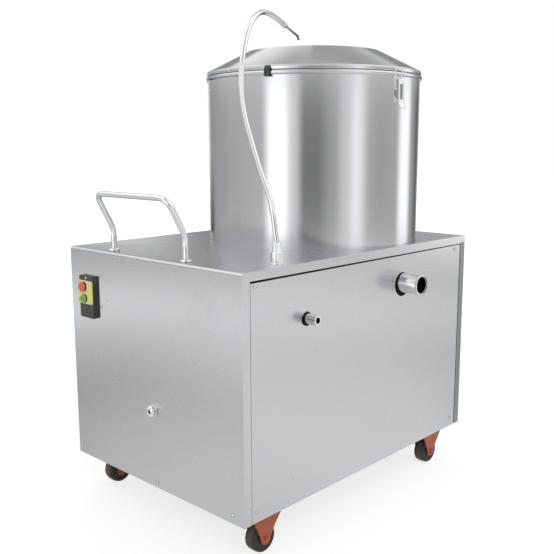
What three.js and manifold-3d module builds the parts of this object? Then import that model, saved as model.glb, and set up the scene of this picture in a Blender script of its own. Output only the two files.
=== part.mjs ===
// A floor-standing electric potato peeler on castors, in millimetres, +Z up, floor at z = 0.
// X runs from the push-handle end of the cabinet to the drum end, and Y from the front panel,
// where the water pipes come out, to the rear panel. The origin is under the middle of the
// whole machine's outline.
import * as THREE from "three";
import { mergeVertices } from "three/addons/utils/BufferGeometryUtils.js";
import Module from "manifold-3d";

const wasm = await Module();
wasm.setup();

// Fits shared by the whole machine
const fitGap = 0.3;
const boreGap = 0.45;
const cutOverrun = 5;
const weldTolerance = 0.0005;
const quarterTurn = Math.PI / 2;
const halfTurn = Math.PI;
const fullTurn = Math.PI * 2;

// Cabinet
const driveRoomLength = 222;
const cabinetHeight = 440;
const sheet = 1.5;
const foldRadius = 6;
const flangeWidth = 18;
const apertureCornerRadius = 2;
const panelGap = 1.6;
const panelRecess = 1;
const panelLipDepth = 7;
const louvreLength = 90;
const louvreHeight = 5;
const louvrePitch = 15;
const louvreCount = 5;
const louvreColumnSpacing = 130;

// Base frame
const angleLeg = 30;
const angleWall = 3;
const gussetLength = 122;
const gussetDepth = 64;
const drumFloorDrop = 103;
const bridgeHalfWidth = 75;
const bridgeThickness = 8;
const motorBarWidth = 30;
const motorBarThickness = 4;
const motorBarSpacing = 100;

// Castors
const casterHeight = 79;
const casterInsetHandleEnd = 71;
const casterInsetDrumEnd = 86;
const casterInsetDepth = 34;
const wheelDiameter = 56;
const wheelWidth = 25;
const wheelSegments = 20;
const treadRound = 3;
const forkPlateLength = 80;
const forkPlateWidth = 50;
const forkPlateThickness = 3;
const forkWall = 2.5;
const forkSideGap = 1.2;
const forkTopLength = 76;
const forkNoseRadius = 12;
const forkFlare = 4;
const forkTrail = 6;
const axleDiameter = 6;
const axleHeadDiameter = 11;
const axleHeadHeight = 4;

// Drum
const drumFrontGap = 10;
const drumRearGap = 40;
const drumEndGap = 28;
const drumDiameter = 450;
const drumWall = 1.5;
const drumRise = 341;
const drumHoleGap = 0.8;
const rimBeadRadius = 4.5;
const drumSegments = 40;
const panThickness = 3;
const standpipeDiameter = 64;
const standpipeWall = 3;
const standpipeDiscGap = 29.7;
const linerThickness = 7;
const linerBelowDisc = 8.7;
const linerTopDrop = 17;

// Feed cone on the drum's rim
const coneSheet = 1.5;
const coneHeight = 51;
const coneMouthDiameter = 284;
const coneSkirtOut = 2.5;
const coneSkirtHeight = 8;
const coneSpigotDepth = 10;
const coneSpigotGap = 1;

// Locating claws of the cone
const clawAngle = 198.5;
const clawWidth = 11;
const clawThickness = 5;
const clawTop = 8;
const clawHookDrop = 3;

// Toggle latches of the cone
const latchAngle = 265.75;
const latchPlateWidth = 18;
const latchPlateThickness = 1.5;
const latchPlateTop = 10;
const latchPlateBottom = 58;
const latchPivotDrop = 20;
const latchPivotOut = 7;
const latchEarRadius = 4.2;
const latchEarOuter = 5.2;
const latchEarWall = 1.5;
const latchPinRadius = 2;
const latchPinSides = 10;
const leverHalfWidth = 7;
const leverWall = 1.5;
const leverBackOut = 4.7;
const leverFrontOut = 6;
const leverLength = 36;
const leverBackLength = 26;
const leverTipOut = 5;
const leverTipDrop = 12;
const leverCornerRadius = 2;
const bailWireRadius = 1.25;
const bailHalfWidth = 9.4;
const bailPivotDrop = 14;
const bailPivotIn = 0.8;
const bailStubInner = 5.8;
const bailBendRadius = 2;
const bailBendSteps = 2;
const bailSides = 6;
const keeperWidth = 12;
const keeperWall = 1.5;
const keeperTop = 7;
const keeperSeat = 3.5;
const keeperLipGap = 0.9;
const keeperLipRise = 1;

// Discharge door on the drum's far side
const doorHalfWidth = 60;
const doorwayRise = 22;
const doorwayHeight = 150;
const doorFrameWall = 6;
const doorFrameOut = 8;
const gasketThickness = 3;
const gasketInset = 0.5;
const doorThickness = 4;
const doorEmboss = 2;
const doorEmbossInset = 16;
const hingeRadius = 6;
const hingePinRadius = 3;
const hingeOffset = 9;
const hingeKnuckleLength = 20;
const hingeKnuckleInset = 15;
const hingeEndGap = 1;
const hingeWebTuck = 1;
const hingeSides = 12;
const knobRadius = 14;
const knobStemRadius = 5;
const knobLength = 24;
const knobStemLength = 12;
const knobInset = 16;
const chuteHalfWidth = 62;
const chuteShelf = 18;
const chuteReach = 46;
const chuteDrop = 10;
const chuteLip = 6;

// Water pipes
const wastePipeDiameter = 40;
const wastePipeBore = 35;
const wastePipeOffset = 10;
const wastePipeFloorGap = 3.7;
const wastePipeReach = 44;
const wasteHoleDiameter = 49;
const wasteHoleDrop = 3.6;
const wasteSaddleRadius = 26;
const wasteSaddleDepth = 4;
const pipeSides = 20;
const inletPipeDiameter = 19.5;
const inletPipeBore = 11;
const inletPipeX = 160;
const inletPipeDrop = 100.6;
const inletPipeReach = 25;
const inletHoleDiameter = 25;
const inletElbowDepth = 45;
const inletElbowReach = 27;
const inletBendRadius = 14;
const inletBendSteps = 3;
const inletSides = 12;
const inletBracketWidth = 26;
const inletBracketFoot = 28;
const inletBracketDrop = 8;
const hoseDiameter = 12;
const hoseBore = 8;
const hoseSides = 6;
const hoseSteps = 6;
const hoseLeadLength = 8;

// Spout
const spoutX = 108;
const spoutY = 25;
const spoutTubeRadius = 4.75;
const spoutBoreRadius = 3.2;
const spoutHeight = 438;
const spoutLean = 83.5;
const spoutReach = 247;
const spoutAimAngle = 18;
const spoutNozzleRadius = 2.5;
const spoutNozzleBore = 1.6;
const spoutNozzleTuck = 12;
const spoutNozzleBendSteps = 2;
const spoutTipDrop = 7;
const spoutTipOut = 5;
const spoutSides = 8;
const spoutSteps = 20;
const spoutFlangeRadius = 13;
const spoutFlangeHeight = 3;
const spoutNutRadius = 11.5;
const spoutNutHeight = 17;
const spoutCollarRadius = 7;
const spoutCollarHeight = 18;
const spoutStemRadius = 8;
const spoutStemDrop = 36;
const spoutSeatDrop = 6;
const spoutLockNutRadius = 12;
const spoutLockNutHeight = 7;
const spoutBaseSides = 12;

// The spout's bends: each row is a share of the lean, of the reach and of the height.
const spoutLeanShares = [
  [0.16, 0, 0.24],
  [0.46, 0, 0.36],
  [0.71, 0, 0.472],
  [0.88, 0, 0.56],
  [0.98, 0, 0.645],
  [1, 0.005, 0.72],
  [1, 0.025, 0.795],
  [1, 0.065, 0.86],
  [1, 0.122, 0.915],
  [1, 0.21, 0.965],
  [1, 0.32, 0.994],
  [1, 0.43, 1],
  [1, 0.56, 0.993],
  [1, 0.67, 0.981],
];
const spoutTubeEndShares = [1, 0.74, 0.9725];
const spoutNozzleEndShares = [1, 0.98, 0.9455];

// Push handle
const handleRodRadius = 5.5;
const handleInset = 19;
const handleFrontY = 160;
const handleRearInset = 126;
const handleRise = 113;
const handleStraight = 44;
const handleLean = 38;
const handleBendRadius = 24;
const handleFootRadius = 11;
const handleFootHeight = 5;
const handleSides = 8;
const handleBendSteps = 4;

// Switch box
const switchRearInset = 76;
const switchDrop = 93;
const switchWidth = 46;
const switchHeight = 84;
const switchDepth = 16;
const switchCornerRadius = 3;
const plateWidth = 47;
const plateHeight = 46;
const plateProud = 4;
const plateTopMargin = 9;
const buttonWell = 12;
const stopRadius = 9.5;
const stopDrop = 11.5;
const stopProud = 8;
const startRadius = 8;
const startDrop = 35.5;
const startProud = 3.5;
const buttonDome = 2;
const buttonSideGap = 0.5;
const buttonStemRadius = 4;
const buttonSegments = 16;

// Cable gland
const glandY = 240;
const glandRise = 153;
const glandHexRadius = 11;
const glandHexHeight = 5;
const glandDomeRadius = 9;
const glandDomeHeight = 6;
const glandNeckRadius = 7;
const glandBoreRadius = 4;
const glandNutHeight = 5;
const glandSides = 12;

// Drive
const driveRise = 116;
const beltDepth = 8;
const beltWidth = 12;
const beltTaper = 2.5;
const beltStations = 36;
const drivenRadius = 140;
const motorPulleyRadius = 35;
const pulleyHalfWidth = 12;
const grooveDepth = 11;
const grooveMouthHalf = 7;
const grooveFloorHalf = 4;
const pulleyRimDepth = 20;
const pulleyWebHalf = 4;
const pulleyHubRadius = 28;
const pulleyHubHalf = 22;
const pulleyHoleRadius = 26;
const pulleyHoleCount = 5;
const pulleySegments = 28;
const smallPulleySegments = 16;
const shaftRadius = 12.5;
const shaftShoulderRadius = 16;
const shaftTailLength = 28;
const shaftSegments = 16;
const bearingWidth = 15;
const bearingOuterRadius = 26;
const bearingSegments = 16;
const housingBodyRadius = 42;
const housingBore = 21;
const housingFlangeRadius = 70;
const housingFlangeHeight = 12;
const housingPulleyGap = 32.7;
const housingSpigotRadius = 38;
const bearingSeatDepth = 18;

// Motor
const motorX = 132;
const motorRadius = 75;
const motorCoreRadius = 67;
const motorFinCount = 12;
const motorFinShare = 0.35;
const motorFlangeRadius = 62;
const motorFlangeHeight = 10;
const motorHeadroom = 70.2;
const motorCowlHeight = 34;
const motorCowlRound = 8;
const motorBoreDepth = 45;
const motorShaftRadius = 12;
const motorPulleySeatRadius = 9.5;
const motorBoxWidth = 64;
const motorBoxHeight = 60;
const motorBoxDepth = 30;
const bracketPulleyGap = 44;
const bracketWall = 4;
const bracketHalfSpan = 95;
const bracketFoot = 28;
const bracketHalfLength = 66;
const bracketHoleRadius = 30;

// Abrasive disc
const discEdgeGap = 4.2;
const discBottomDrop = 14;
const discMeanRise = 9;
const discCentreRise = 16;
const discCentreRadius = 46;
const discWave = 6;
const discWaveCount = 3;
const discRings = 4;
const discSegments = 36;
const discHubRadius = 26;
const discHubDrop = 24;
const discSkirtRadius = 42;
const discSkirtWall = 4;
const discSkirtFloorGap = 39.7;
const vaneThickness = 5;
const vaneInner = 40;
const vaneEdgeInset = 8;
const vaneFloorGap = 19.7;
const capRadius = 30;
const capHeight = 20;
const capEdge = 5;
const capSegments = 16;

// Heights and places that follow from the sizes above
const cabinetBottom = casterHeight;
const cabinetTop = cabinetBottom + cabinetHeight;
const drumRadius = drumDiameter / 2;
const drumX = driveRoomLength + drumRadius;
const drumY = drumFrontGap + drumRadius;
const cabinetLength = driveRoomLength + drumDiameter + drumEndGap;
const cabinetDepth = drumFrontGap + drumDiameter + drumRearGap;
const wastePipeX = drumX + wastePipeOffset;
const handleRearY = cabinetDepth - handleRearInset;
const switchY = cabinetDepth - switchRearInset;
const rimHeight = cabinetTop + drumRise;
const railTopHeight = cabinetTop - drumFloorDrop;
const drumBottom = railTopHeight + fitGap;
const panFloorHeight = drumBottom + panThickness;
const drumInnerRadius = drumRadius - drumWall;
const linerOuterRadius = drumInnerRadius - fitGap;
const linerInnerRadius = linerOuterRadius - linerThickness;
const wastePipeHeight = panFloorHeight + wastePipeFloorGap + wastePipeDiameter / 2;
const inletPipeHeight = cabinetTop - inletPipeDrop;
const discRadius = linerInnerRadius - discEdgeGap;
const discBottom = cabinetTop - discBottomDrop;
const driveHeight = cabinetBottom + driveRise;
const bracketHeight = driveHeight + pulleyHalfWidth + bracketPulleyGap;
const discCentreTop = cabinetTop + discCentreRise;
const shaftTop = discCentreTop + capHeight / 2;
const doorwayBottom = cabinetTop + doorwayRise;
const doorwayTop = doorwayBottom + doorwayHeight;
const doorFrameFace = drumRadius + doorFrameOut;
const frameFrontY = panelRecess + sheet + fitGap;
const frameEndX = sheet + fitGap;
const axleHeight = (wheelDiameter / 2) * Math.cos(halfTurn / wheelSegments);
const machineMinX = -(fitGap + switchDepth + plateProud + stopProud);
const machineMaxX = drumX + drumRadius + chuteReach + sheet / 2;
const machineMinY = -wastePipeReach;
const machineMaxY = cabinetDepth;

// Colours and finishes
const steelColor = 0xc5c5c7;
const brightSteelColor = 0xd8d8da;
const chromeColor = 0xdcdee0;
const castMetalColor = 0x8f9396;
const frameColor = 0x4a4d50;
const forkColor = 0xa5553f;
const rubberColor = 0x1a1a1b;
const abrasiveColor = 0x5b5651;
const switchColor = 0x1f2022;
const plateColor = 0xe3cf2e;
const stopColor = 0xc8281e;
const startColor = 0x3d8f3a;
const motorColor = 0x39566e;

const metal = (color, roughness) =>
  new THREE.MeshStandardMaterial({ color, metalness: 0.9, roughness });
const plain = (color, roughness) =>
  new THREE.MeshStandardMaterial({ color, metalness: 0, roughness });

// A closed geometry as a solid that can be joined and cut.
function toSolid(geometry) {
  const bare = geometry.index ? geometry.toNonIndexed() : geometry.clone();
  bare.deleteAttribute("normal");
  bare.deleteAttribute("uv");
  const merged = mergeVertices(bare, weldTolerance);
  return new wasm.Manifold(
    new wasm.Mesh({
      numProp: 3,
      vertProperties: merged.attributes.position.array,
      triVerts: new Uint32Array(merged.index.array),
    }),
  );
}

function toGeometry(solid) {
  const { vertProperties, triVerts } = solid.getMesh();
  const geometry = new THREE.BufferGeometry();
  geometry.setAttribute("position", new THREE.BufferAttribute(vertProperties, 3));
  geometry.setIndex(new THREE.BufferAttribute(triVerts, 1));
  geometry.computeVertexNormals();
  return geometry;
}

function join(...geometries) {
  return toGeometry(geometries.map(toSolid).reduce((a, b) => a.add(b)));
}

function cut(geometry, ...cutters) {
  return toGeometry(cutters.map(toSolid).reduce((a, b) => a.subtract(b), toSolid(geometry)));
}

// A box between two bounds on each axis.
function block([x0, x1], [y0, y1], [z0, z1]) {
  const geometry = new THREE.BoxGeometry(x1 - x0, y1 - y0, z1 - z0);
  return geometry.translate((x0 + x1) / 2, (y0 + y1) / 2, (z0 + z1) / 2);
}

function cylinderZ(radius, z0, z1, segments) {
  const geometry = new THREE.CylinderGeometry(radius, radius, z1 - z0, segments);
  return geometry.rotateX(quarterTurn).translate(0, 0, (z0 + z1) / 2);
}

function cylinderY(radius, y0, y1, segments) {
  const geometry = new THREE.CylinderGeometry(radius, radius, y1 - y0, segments);
  return geometry.translate(0, (y0 + y1) / 2, 0);
}

function cylinderX(radius, x0, x1, segments) {
  const geometry = new THREE.CylinderGeometry(radius, radius, x1 - x0, segments);
  return geometry.rotateZ(-quarterTurn).translate((x0 + x1) / 2, 0, 0);
}

// A profile of [radius, height] points turned about Z. It closes on itself off the axis.
function revolve(profile, segments, phase = 0) {
  const points = profile.map(([r, z]) => new THREE.Vector2(r, z));
  const open = profile[0][0] > 0 || profile.at(-1)[0] > 0;
  if (open) points.push(points[0].clone());
  return new THREE.LatheGeometry(points, segments, phase).rotateX(quarterTurn);
}

function polygon(points) {
  return new THREE.Shape(points.map(([x, y]) => new THREE.Vector2(x, y)));
}

// The outline of a sheet of even thickness bent along a centreline of [x, y] points.
function bentSheet(centreline, thickness) {
  const points = centreline.map(([x, y]) => new THREE.Vector2(x, y));
  const directions = points.slice(1).map((p, i) => p.clone().sub(points[i]).normalize());
  const offsets = points.map((_, i) => {
    const before = directions[Math.max(i - 1, 0)];
    const after = directions[Math.min(i, directions.length - 1)];
    const mean = before.clone().add(after).normalize();
    const normal = new THREE.Vector2(-mean.y, mean.x);
    return normal.multiplyScalar(thickness / 2 / mean.dot(after));
  });
  const left = points.map((p, i) => p.clone().add(offsets[i]));
  const right = points.map((p, i) => p.clone().sub(offsets[i])).reverse();
  return [...left, ...right].map((p) => [p.x, p.y]);
}

function extrude(shape, depth, curveSegments = 12) {
  return new THREE.ExtrudeGeometry(shape, { depth, bevelEnabled: false, curveSegments });
}

// Outlines drawn in [x, z] and pulled along Y, or in [y, z] and pulled along X.
function extrudeY(shape, y0, y1, curveSegments) {
  return extrude(shape, y1 - y0, curveSegments).rotateX(quarterTurn).translate(0, y1, 0);
}

function extrudeX(shape, x0, x1, curveSegments) {
  const turn = new THREE.Matrix4().makeBasis(
    new THREE.Vector3(0, 1, 0),
    new THREE.Vector3(0, 0, 1),
    new THREE.Vector3(1, 0, 0),
  );
  return extrude(shape, x1 - x0, curveSegments).applyMatrix4(turn).translate(x0, 0, 0);
}

function extrudeZ(shape, z0, z1, curveSegments) {
  return extrude(shape, z1 - z0, curveSegments).translate(0, 0, z0);
}

function circlePoints(radius, sides) {
  return Array.from({ length: sides }, (_, i) => {
    const angle = (fullTurn * i) / sides;
    return new THREE.Vector2(radius * Math.cos(angle), radius * Math.sin(angle));
  });
}

// A route through exact stations, so that a bend's steps fall where they are needed.
class StationPath extends THREE.Curve {
  constructor(stations) {
    super();
    this.stations = stations;
  }

  get steps() {
    return this.stations.length - 1;
  }

  getPoint(share, target = new THREE.Vector3()) {
    const place = share * this.steps;
    const start = Math.min(Math.floor(place), this.steps - 1);
    return target.lerpVectors(this.stations[start], this.stations[start + 1], place - start);
  }

  getPointAt(share, target) {
    return this.getPoint(share, target);
  }

  getTangentAt(share, target) {
    return this.getTangent(share, target);
  }
}

// A round rod, or a tube where it has a bore, along a path of stations.
function sweep(path, radius, sides, boreRadius = 0) {
  const section = new THREE.Shape(circlePoints(radius, sides));
  if (boreRadius > 0) section.holes.push(new THREE.Path(circlePoints(boreRadius, sides)));
  const options = { steps: path.steps, bevelEnabled: false, extrudePath: path };
  return new THREE.ExtrudeGeometry(section, options);
}

// Straight runs between corner points, with each corner rounded off in a few steps.
function bentPath(corners, bendRadius, bendSteps) {
  const stations = [corners[0]];
  corners.slice(1, -1).forEach((corner, i) => {
    const toward = corners[i].clone().sub(corner).normalize();
    const away = corners[i + 2].clone().sub(corner).normalize();
    const halfAngle = Math.acos(THREE.MathUtils.clamp(toward.dot(away), -1, 1)) / 2;
    const trim = bendRadius / Math.tan(halfAngle);
    const entry = corner.clone().addScaledVector(toward, trim);
    const exit = corner.clone().addScaledVector(away, trim);
    stations.push(...new THREE.QuadraticBezierCurve3(entry, corner, exit).getPoints(bendSteps));
  });
  stations.push(corners.at(-1));
  return new StationPath(stations);
}

function add(parent, name, geometry, material) {
  const mesh = new THREE.Mesh(geometry, material);
  mesh.name = name;
  parent.add(mesh);
  return mesh;
}

// The closed outline of the cabinet's folded sheet, drawn in by an inset.
function foldOutline(inset, radius, bottom) {
  const right = cabinetLength - inset;
  const top = cabinetTop - inset;
  const shape = new THREE.Shape();
  shape.moveTo(inset, bottom);
  shape.lineTo(right, bottom);
  shape.lineTo(right, top - radius);
  shape.absarc(right - radius, top - radius, radius, 0, quarterTurn, false);
  shape.lineTo(inset + radius, top);
  shape.absarc(inset + radius, top - radius, radius, quarterTurn, halfTurn, false);
  shape.lineTo(inset, bottom);
  return shape;
}

function cabinetShell() {
  const below = cabinetBottom - cutOverrun;
  const foldSteps = 4;
  const outer = extrudeY(foldOutline(0, foldRadius, cabinetBottom), 0, cabinetDepth, foldSteps);
  const inside = foldOutline(sheet, foldRadius - sheet, below);
  const cavity = extrudeY(inside, sheet, cabinetDepth - sheet, foldSteps);
  const opening = foldOutline(flangeWidth, apertureCornerRadius, below);
  const aperture = extrudeY(opening, -cutOverrun, cabinetDepth + cutOverrun, foldSteps);
  const drumHole = cylinderZ(
    drumRadius + drumHoleGap,
    cabinetTop - foldRadius,
    cabinetTop + cutOverrun,
    drumSegments,
  ).translate(drumX, drumY, 0);
  const spoutHole = cylinderZ(
    spoutStemRadius + boreGap,
    cabinetTop - foldRadius,
    cabinetTop + cutOverrun,
    spoutBaseSides,
  ).translate(spoutX, spoutY, 0);
  const glandHole = cylinderX(glandNeckRadius + boreGap, -cutOverrun, cutOverrun, glandSides).translate(
    0,
    glandY,
    cabinetBottom + glandRise,
  );
  return cut(outer, cavity, aperture, drumHole, spoutHole, glandHole);
}

// A flat cover that fills the cabinet's opening, drawn for the front.
function coverPanel() {
  const left = flangeWidth + panelGap;
  const top = cabinetTop - flangeWidth - panelGap;
  const face = block(
    [left, cabinetLength - left],
    [panelRecess, panelRecess + sheet],
    [cabinetBottom, top],
  );
  const lipStart = frameEndX + angleLeg + panelGap;
  const lip = block(
    [lipStart, cabinetLength - lipStart],
    [panelRecess, panelRecess + panelLipDepth],
    [top - sheet, top],
  );
  return join(face, lip);
}

function frontPanel() {
  const holeSides = 20;
  const wasteHole = cylinderY(wasteHoleDiameter / 2, -cutOverrun, cutOverrun, holeSides).translate(
    wastePipeX,
    0,
    wastePipeHeight - wasteHoleDrop,
  );
  const inletHole = cylinderY(inletHoleDiameter / 2, -cutOverrun, cutOverrun, holeSides).translate(
    inletPipeX,
    0,
    inletPipeHeight,
  );
  return cut(coverPanel(), wasteHole, inletHole);
}

function rearPanel() {
  const panel = coverPanel().scale(1, -1, 1).translate(0, cabinetDepth, 0);
  const louvres = [];
  for (const side of [-1, 1]) {
    const x = motorX + motorRadius + (side * louvreColumnSpacing) / 2;
    for (let i = 0; i < louvreCount; i += 1) {
      const z = cabinetTop - cabinetHeight / 2 + (i - (louvreCount - 1) / 2) * louvrePitch;
      louvres.push(
        block(
          [x - louvreLength / 2, x + louvreLength / 2],
          [cabinetDepth - cutOverrun, cabinetDepth + cutOverrun],
          [z - louvreHeight / 2, z + louvreHeight / 2],
        ),
      );
    }
  }
  return cut(flipFaces(panel), ...louvres);
}

// Turns a mirrored geometry's faces outward again.
function flipFaces(geometry) {
  const flipped = geometry.toNonIndexed();
  const { array } = flipped.attributes.position;
  for (let i = 0; i < array.length; i += 9) {
    for (let k = 0; k < 3; k += 1) {
      [array[i + 3 + k], array[i + 6 + k]] = [array[i + 6 + k], array[i + 3 + k]];
    }
  }
  return flipped;
}

// The welded frame: a ring of angle, posts, rails that carry the drum and the bearing bridge.
function baseFrame() {
  const x0 = frameEndX;
  const x1 = cabinetLength - frameEndX;
  const y0 = frameFrontY;
  const y1 = cabinetDepth - frameFrontY;
  const bottom = cabinetBottom;
  const ring = cut(
    block([x0, x1], [y0, y1], [bottom, bottom + angleLeg]),
    block(
      [x0 + angleWall, x1 - angleWall],
      [y0 + angleWall, y1 - angleWall],
      [bottom + angleWall, bottom + angleLeg + cutOverrun],
    ),
    block(
      [x0 + angleLeg, x1 - angleLeg],
      [y0 + angleLeg, y1 - angleLeg],
      [bottom - cutOverrun, bottom + angleLeg],
    ),
  );
  const pieces = [];
  const postTop = cabinetTop - foldRadius - fitGap;
  const middlePostX = drumX - drumRadius - angleLeg / 2;
  const bounds = (start, length, sign) =>
    sign > 0 ? [start, start + length] : [start - length, start];
  for (const [y, sign] of [
    [y0, 1],
    [y1, -1],
  ]) {
    for (const [x, side] of [
      [x0, 1],
      [x1, -1],
    ]) {
      pieces.push(
        block(bounds(x, angleLeg, side), bounds(y, angleWall, sign), [bottom, postTop]),
        block(bounds(x, angleWall, side), bounds(y, angleLeg, sign), [bottom, postTop]),
        block(bounds(x, gussetLength, side), bounds(y, gussetDepth, sign), [
          bottom,
          bottom + angleWall,
        ]),
      );
    }
    pieces.push(
      block(bounds(middlePostX, angleLeg, 1), bounds(y, angleWall, sign), [bottom, railTopHeight]),
      block(bounds(middlePostX, angleWall, 1), bounds(y, angleLeg, sign), [bottom, railTopHeight]),
      block([middlePostX, x1], bounds(y, angleWall, sign), [
        railTopHeight - angleLeg,
        railTopHeight,
      ]),
      block([middlePostX, x1], bounds(y, angleLeg, sign), [
        railTopHeight - angleWall,
        railTopHeight,
      ]),
    );
  }
  for (const side of [-1, 1]) {
    const x = motorX + (side * motorBarSpacing) / 2;
    pieces.push(
      block([x - motorBarWidth / 2, x + motorBarWidth / 2], [y0, y1], [
        bottom,
        bottom + motorBarThickness,
      ]),
    );
  }
  const bridge = cut(
    block([drumX - bridgeHalfWidth, drumX + bridgeHalfWidth], [y0, y1], [
      railTopHeight - bridgeThickness,
      railTopHeight,
    ]),
    cylinderZ(
      housingSpigotRadius + fitGap,
      railTopHeight - angleLeg,
      railTopHeight + cutOverrun,
      bearingSegments,
    ).translate(drumX, drumY, 0),
  );
  return join(ring, bridge, ...pieces);
}

// One castor, about the wheel's centre line on the floor: the fork with its riveted axle,
// then the wheel.
function casterFork() {
  const plateTop = casterHeight - fitGap;
  const plateBottom = plateTop - forkPlateThickness;
  const inner = wheelWidth / 2 + forkSideGap;
  const cheek = new THREE.Shape();
  const low = forkTrail - forkTopLength / 2;
  const high = forkTrail + forkTopLength / 2;
  const flare = forkNoseRadius + forkFlare;
  cheek.moveTo(low, plateTop);
  cheek.lineTo(low, plateBottom - forkPlateThickness);
  cheek.quadraticCurveTo(-flare, axleHeight + forkNoseRadius, -forkNoseRadius, axleHeight);
  cheek.absarc(0, axleHeight, forkNoseRadius, halfTurn, fullTurn, false);
  cheek.quadraticCurveTo(
    flare,
    axleHeight + forkNoseRadius,
    high,
    plateBottom - forkPlateThickness,
  );
  cheek.lineTo(high, plateTop);
  const cheekSteps = 3;
  const plate = block(
    [forkTrail - forkPlateLength / 2, forkTrail + forkPlateLength / 2],
    [-forkPlateWidth / 2, forkPlateWidth / 2],
    [plateBottom, plateTop],
  );
  const reach = inner + forkWall;
  const hexSides = 6;
  const axleSides = 8;
  const head = [reach - forkWall / 2, reach + axleHeadHeight];
  return join(
    plate,
    extrudeY(cheek, inner, reach, cheekSteps),
    extrudeY(cheek, -reach, -inner, cheekSteps),
    cylinderY(axleDiameter / 2, -reach, reach, axleSides).translate(0, 0, axleHeight),
    cylinderY(axleHeadDiameter / 2, head[0], head[1], hexSides).translate(0, 0, axleHeight),
    cylinderY(axleHeadDiameter / 2, -head[1], -head[0], hexSides).translate(0, 0, axleHeight),
  );
}

function casterWheel() {
  const radius = wheelDiameter / 2;
  const half = wheelWidth / 2;
  const bore = axleDiameter / 2 + boreGap;
  const profile = [
    [bore, -half],
    [radius - treadRound, -half],
    [radius, -half + treadRound],
    [radius, half - treadRound],
    [radius - treadRound, half],
    [bore, half],
  ];
  const wheel = revolve(profile, wheelSegments, halfTurn / wheelSegments);
  return wheel.rotateX(quarterTurn).translate(0, 0, axleHeight);
}

function drumShell() {
  const beadSteps = 3;
  const beadCentre = rimHeight - rimBeadRadius;
  const bead = Array.from({ length: beadSteps + 1 }, (_, i) => {
    const angle = -quarterTurn + (halfTurn * i) / beadSteps;
    return [drumRadius + rimBeadRadius * Math.cos(angle), beadCentre + rimBeadRadius * Math.sin(angle)];
  });
  const wall = revolve(
    [[drumInnerRadius, drumBottom], [drumRadius, drumBottom], ...bead, [drumInnerRadius, rimHeight]],
    drumSegments,
  );
  const wasteHole = cylinderY(
    wastePipeBore / 2,
    -drumRadius - cutOverrun,
    -drumRadius / 2,
    pipeSides,
  );
  const doorway = block(
    [drumRadius / 2, drumRadius + cutOverrun],
    [-doorHalfWidth, doorHalfWidth],
    [doorwayBottom, doorwayTop],
  );
  return cut(wall, wasteHole.translate(wastePipeX - drumX, 0, wastePipeHeight), doorway);
}

function wastePan() {
  const outer = drumInnerRadius - fitGap;
  const pipe = standpipeDiameter / 2;
  const standpipeTop = discBottom - standpipeDiscGap;
  return revolve(
    [
      [pipe - standpipeWall, drumBottom],
      [outer, drumBottom],
      [outer, panFloorHeight],
      [pipe, panFloorHeight],
      [pipe, standpipeTop],
      [pipe - standpipeWall, standpipeTop],
    ],
    drumSegments,
  );
}

function abrasiveLiner() {
  const inner = linerInnerRadius;
  const bottom = discBottom - linerBelowDisc;
  const top = rimHeight - linerTopDrop;
  const ring = revolve(
    [
      [inner, bottom],
      [linerOuterRadius, bottom],
      [linerOuterRadius, top],
      [inner, top],
    ],
    drumSegments,
  );
  const doorway = block(
    [drumRadius / 2, drumRadius],
    [-doorHalfWidth, doorHalfWidth],
    [doorwayBottom, doorwayTop],
  );
  return cut(ring, doorway);
}

// The feed cone is one bent sheet turned about the drum's axis.
function feedCone() {
  const spigot = drumInnerRadius - coneSpigotGap - coneSheet / 2;
  const seat = fitGap + coneSheet / 2;
  const skirt = drumRadius + coneSkirtOut - coneSheet / 2;
  const mouth = coneMouthDiameter / 2 - coneSheet / 2;
  const centreline = [
    [spigot, -coneSpigotDepth],
    [spigot, seat],
    [skirt, seat],
    [skirt, coneSkirtHeight],
    [mouth, coneHeight],
  ];
  return revolve(bentSheet(centreline, coneSheet).reverse(), drumSegments).translate(0, 0, rimHeight);
}

// A black claw on the cone's skirt that hooks under the drum's rim bead.
function coneClaw() {
  const skirt = drumRadius + coneSkirtOut + fitGap;
  const bead = drumRadius + rimBeadRadius + fitGap;
  const beadBottom = -rimBeadRadius * 2 - fitGap;
  const outer = bead + clawThickness;
  const outline = polygon([
    [skirt, clawTop],
    [skirt, fitGap],
    [bead, fitGap],
    [bead, beadBottom],
    [drumRadius + fitGap, beadBottom],
    [drumRadius + fitGap, beadBottom - clawHookDrop],
    [outer - fitGap, beadBottom - clawHookDrop],
    [outer, beadBottom],
    [outer, fitGap],
    [skirt + clawThickness / 2, clawTop],
  ]);
  return extrudeY(outline, -clawWidth / 2, clawWidth / 2);
}

// The toggle latch is drawn with X radial, Y along the rim and Z up from the rim's top.
const latchPivotX = drumRadius + latchPivotOut;
const bailCrossbarRise = keeperSeat + latchPivotDrop;

function latchBase() {
  const back = drumRadius + fitGap;
  const plate = block(
    [back, back + latchPlateThickness],
    [-latchPlateWidth / 2, latchPlateWidth / 2],
    [-latchPlateBottom, -latchPlateTop],
  );
  const ear = new THREE.Shape();
  ear.moveTo(back, -latchPivotDrop - latchEarRadius);
  ear.lineTo(latchPivotX, -latchPivotDrop - latchEarRadius);
  ear.absarc(latchPivotX, -latchPivotDrop, latchEarRadius, -quarterTurn, quarterTurn, false);
  ear.lineTo(back, -latchPivotDrop + latchEarRadius);
  const pinHole = circlePoints(latchPinRadius + boreGap, latchPinSides);
  ear.holes.push(
    new THREE.Path(pinHole.map((p) => p.add(new THREE.Vector2(latchPivotX, -latchPivotDrop)))),
  );
  const earSteps = 4;
  return join(
    plate,
    extrudeY(ear, latchEarOuter - latchEarWall, latchEarOuter, earSteps),
    extrudeY(ear, -latchEarOuter, -latchEarOuter + latchEarWall, earSteps),
  );
}

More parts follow.
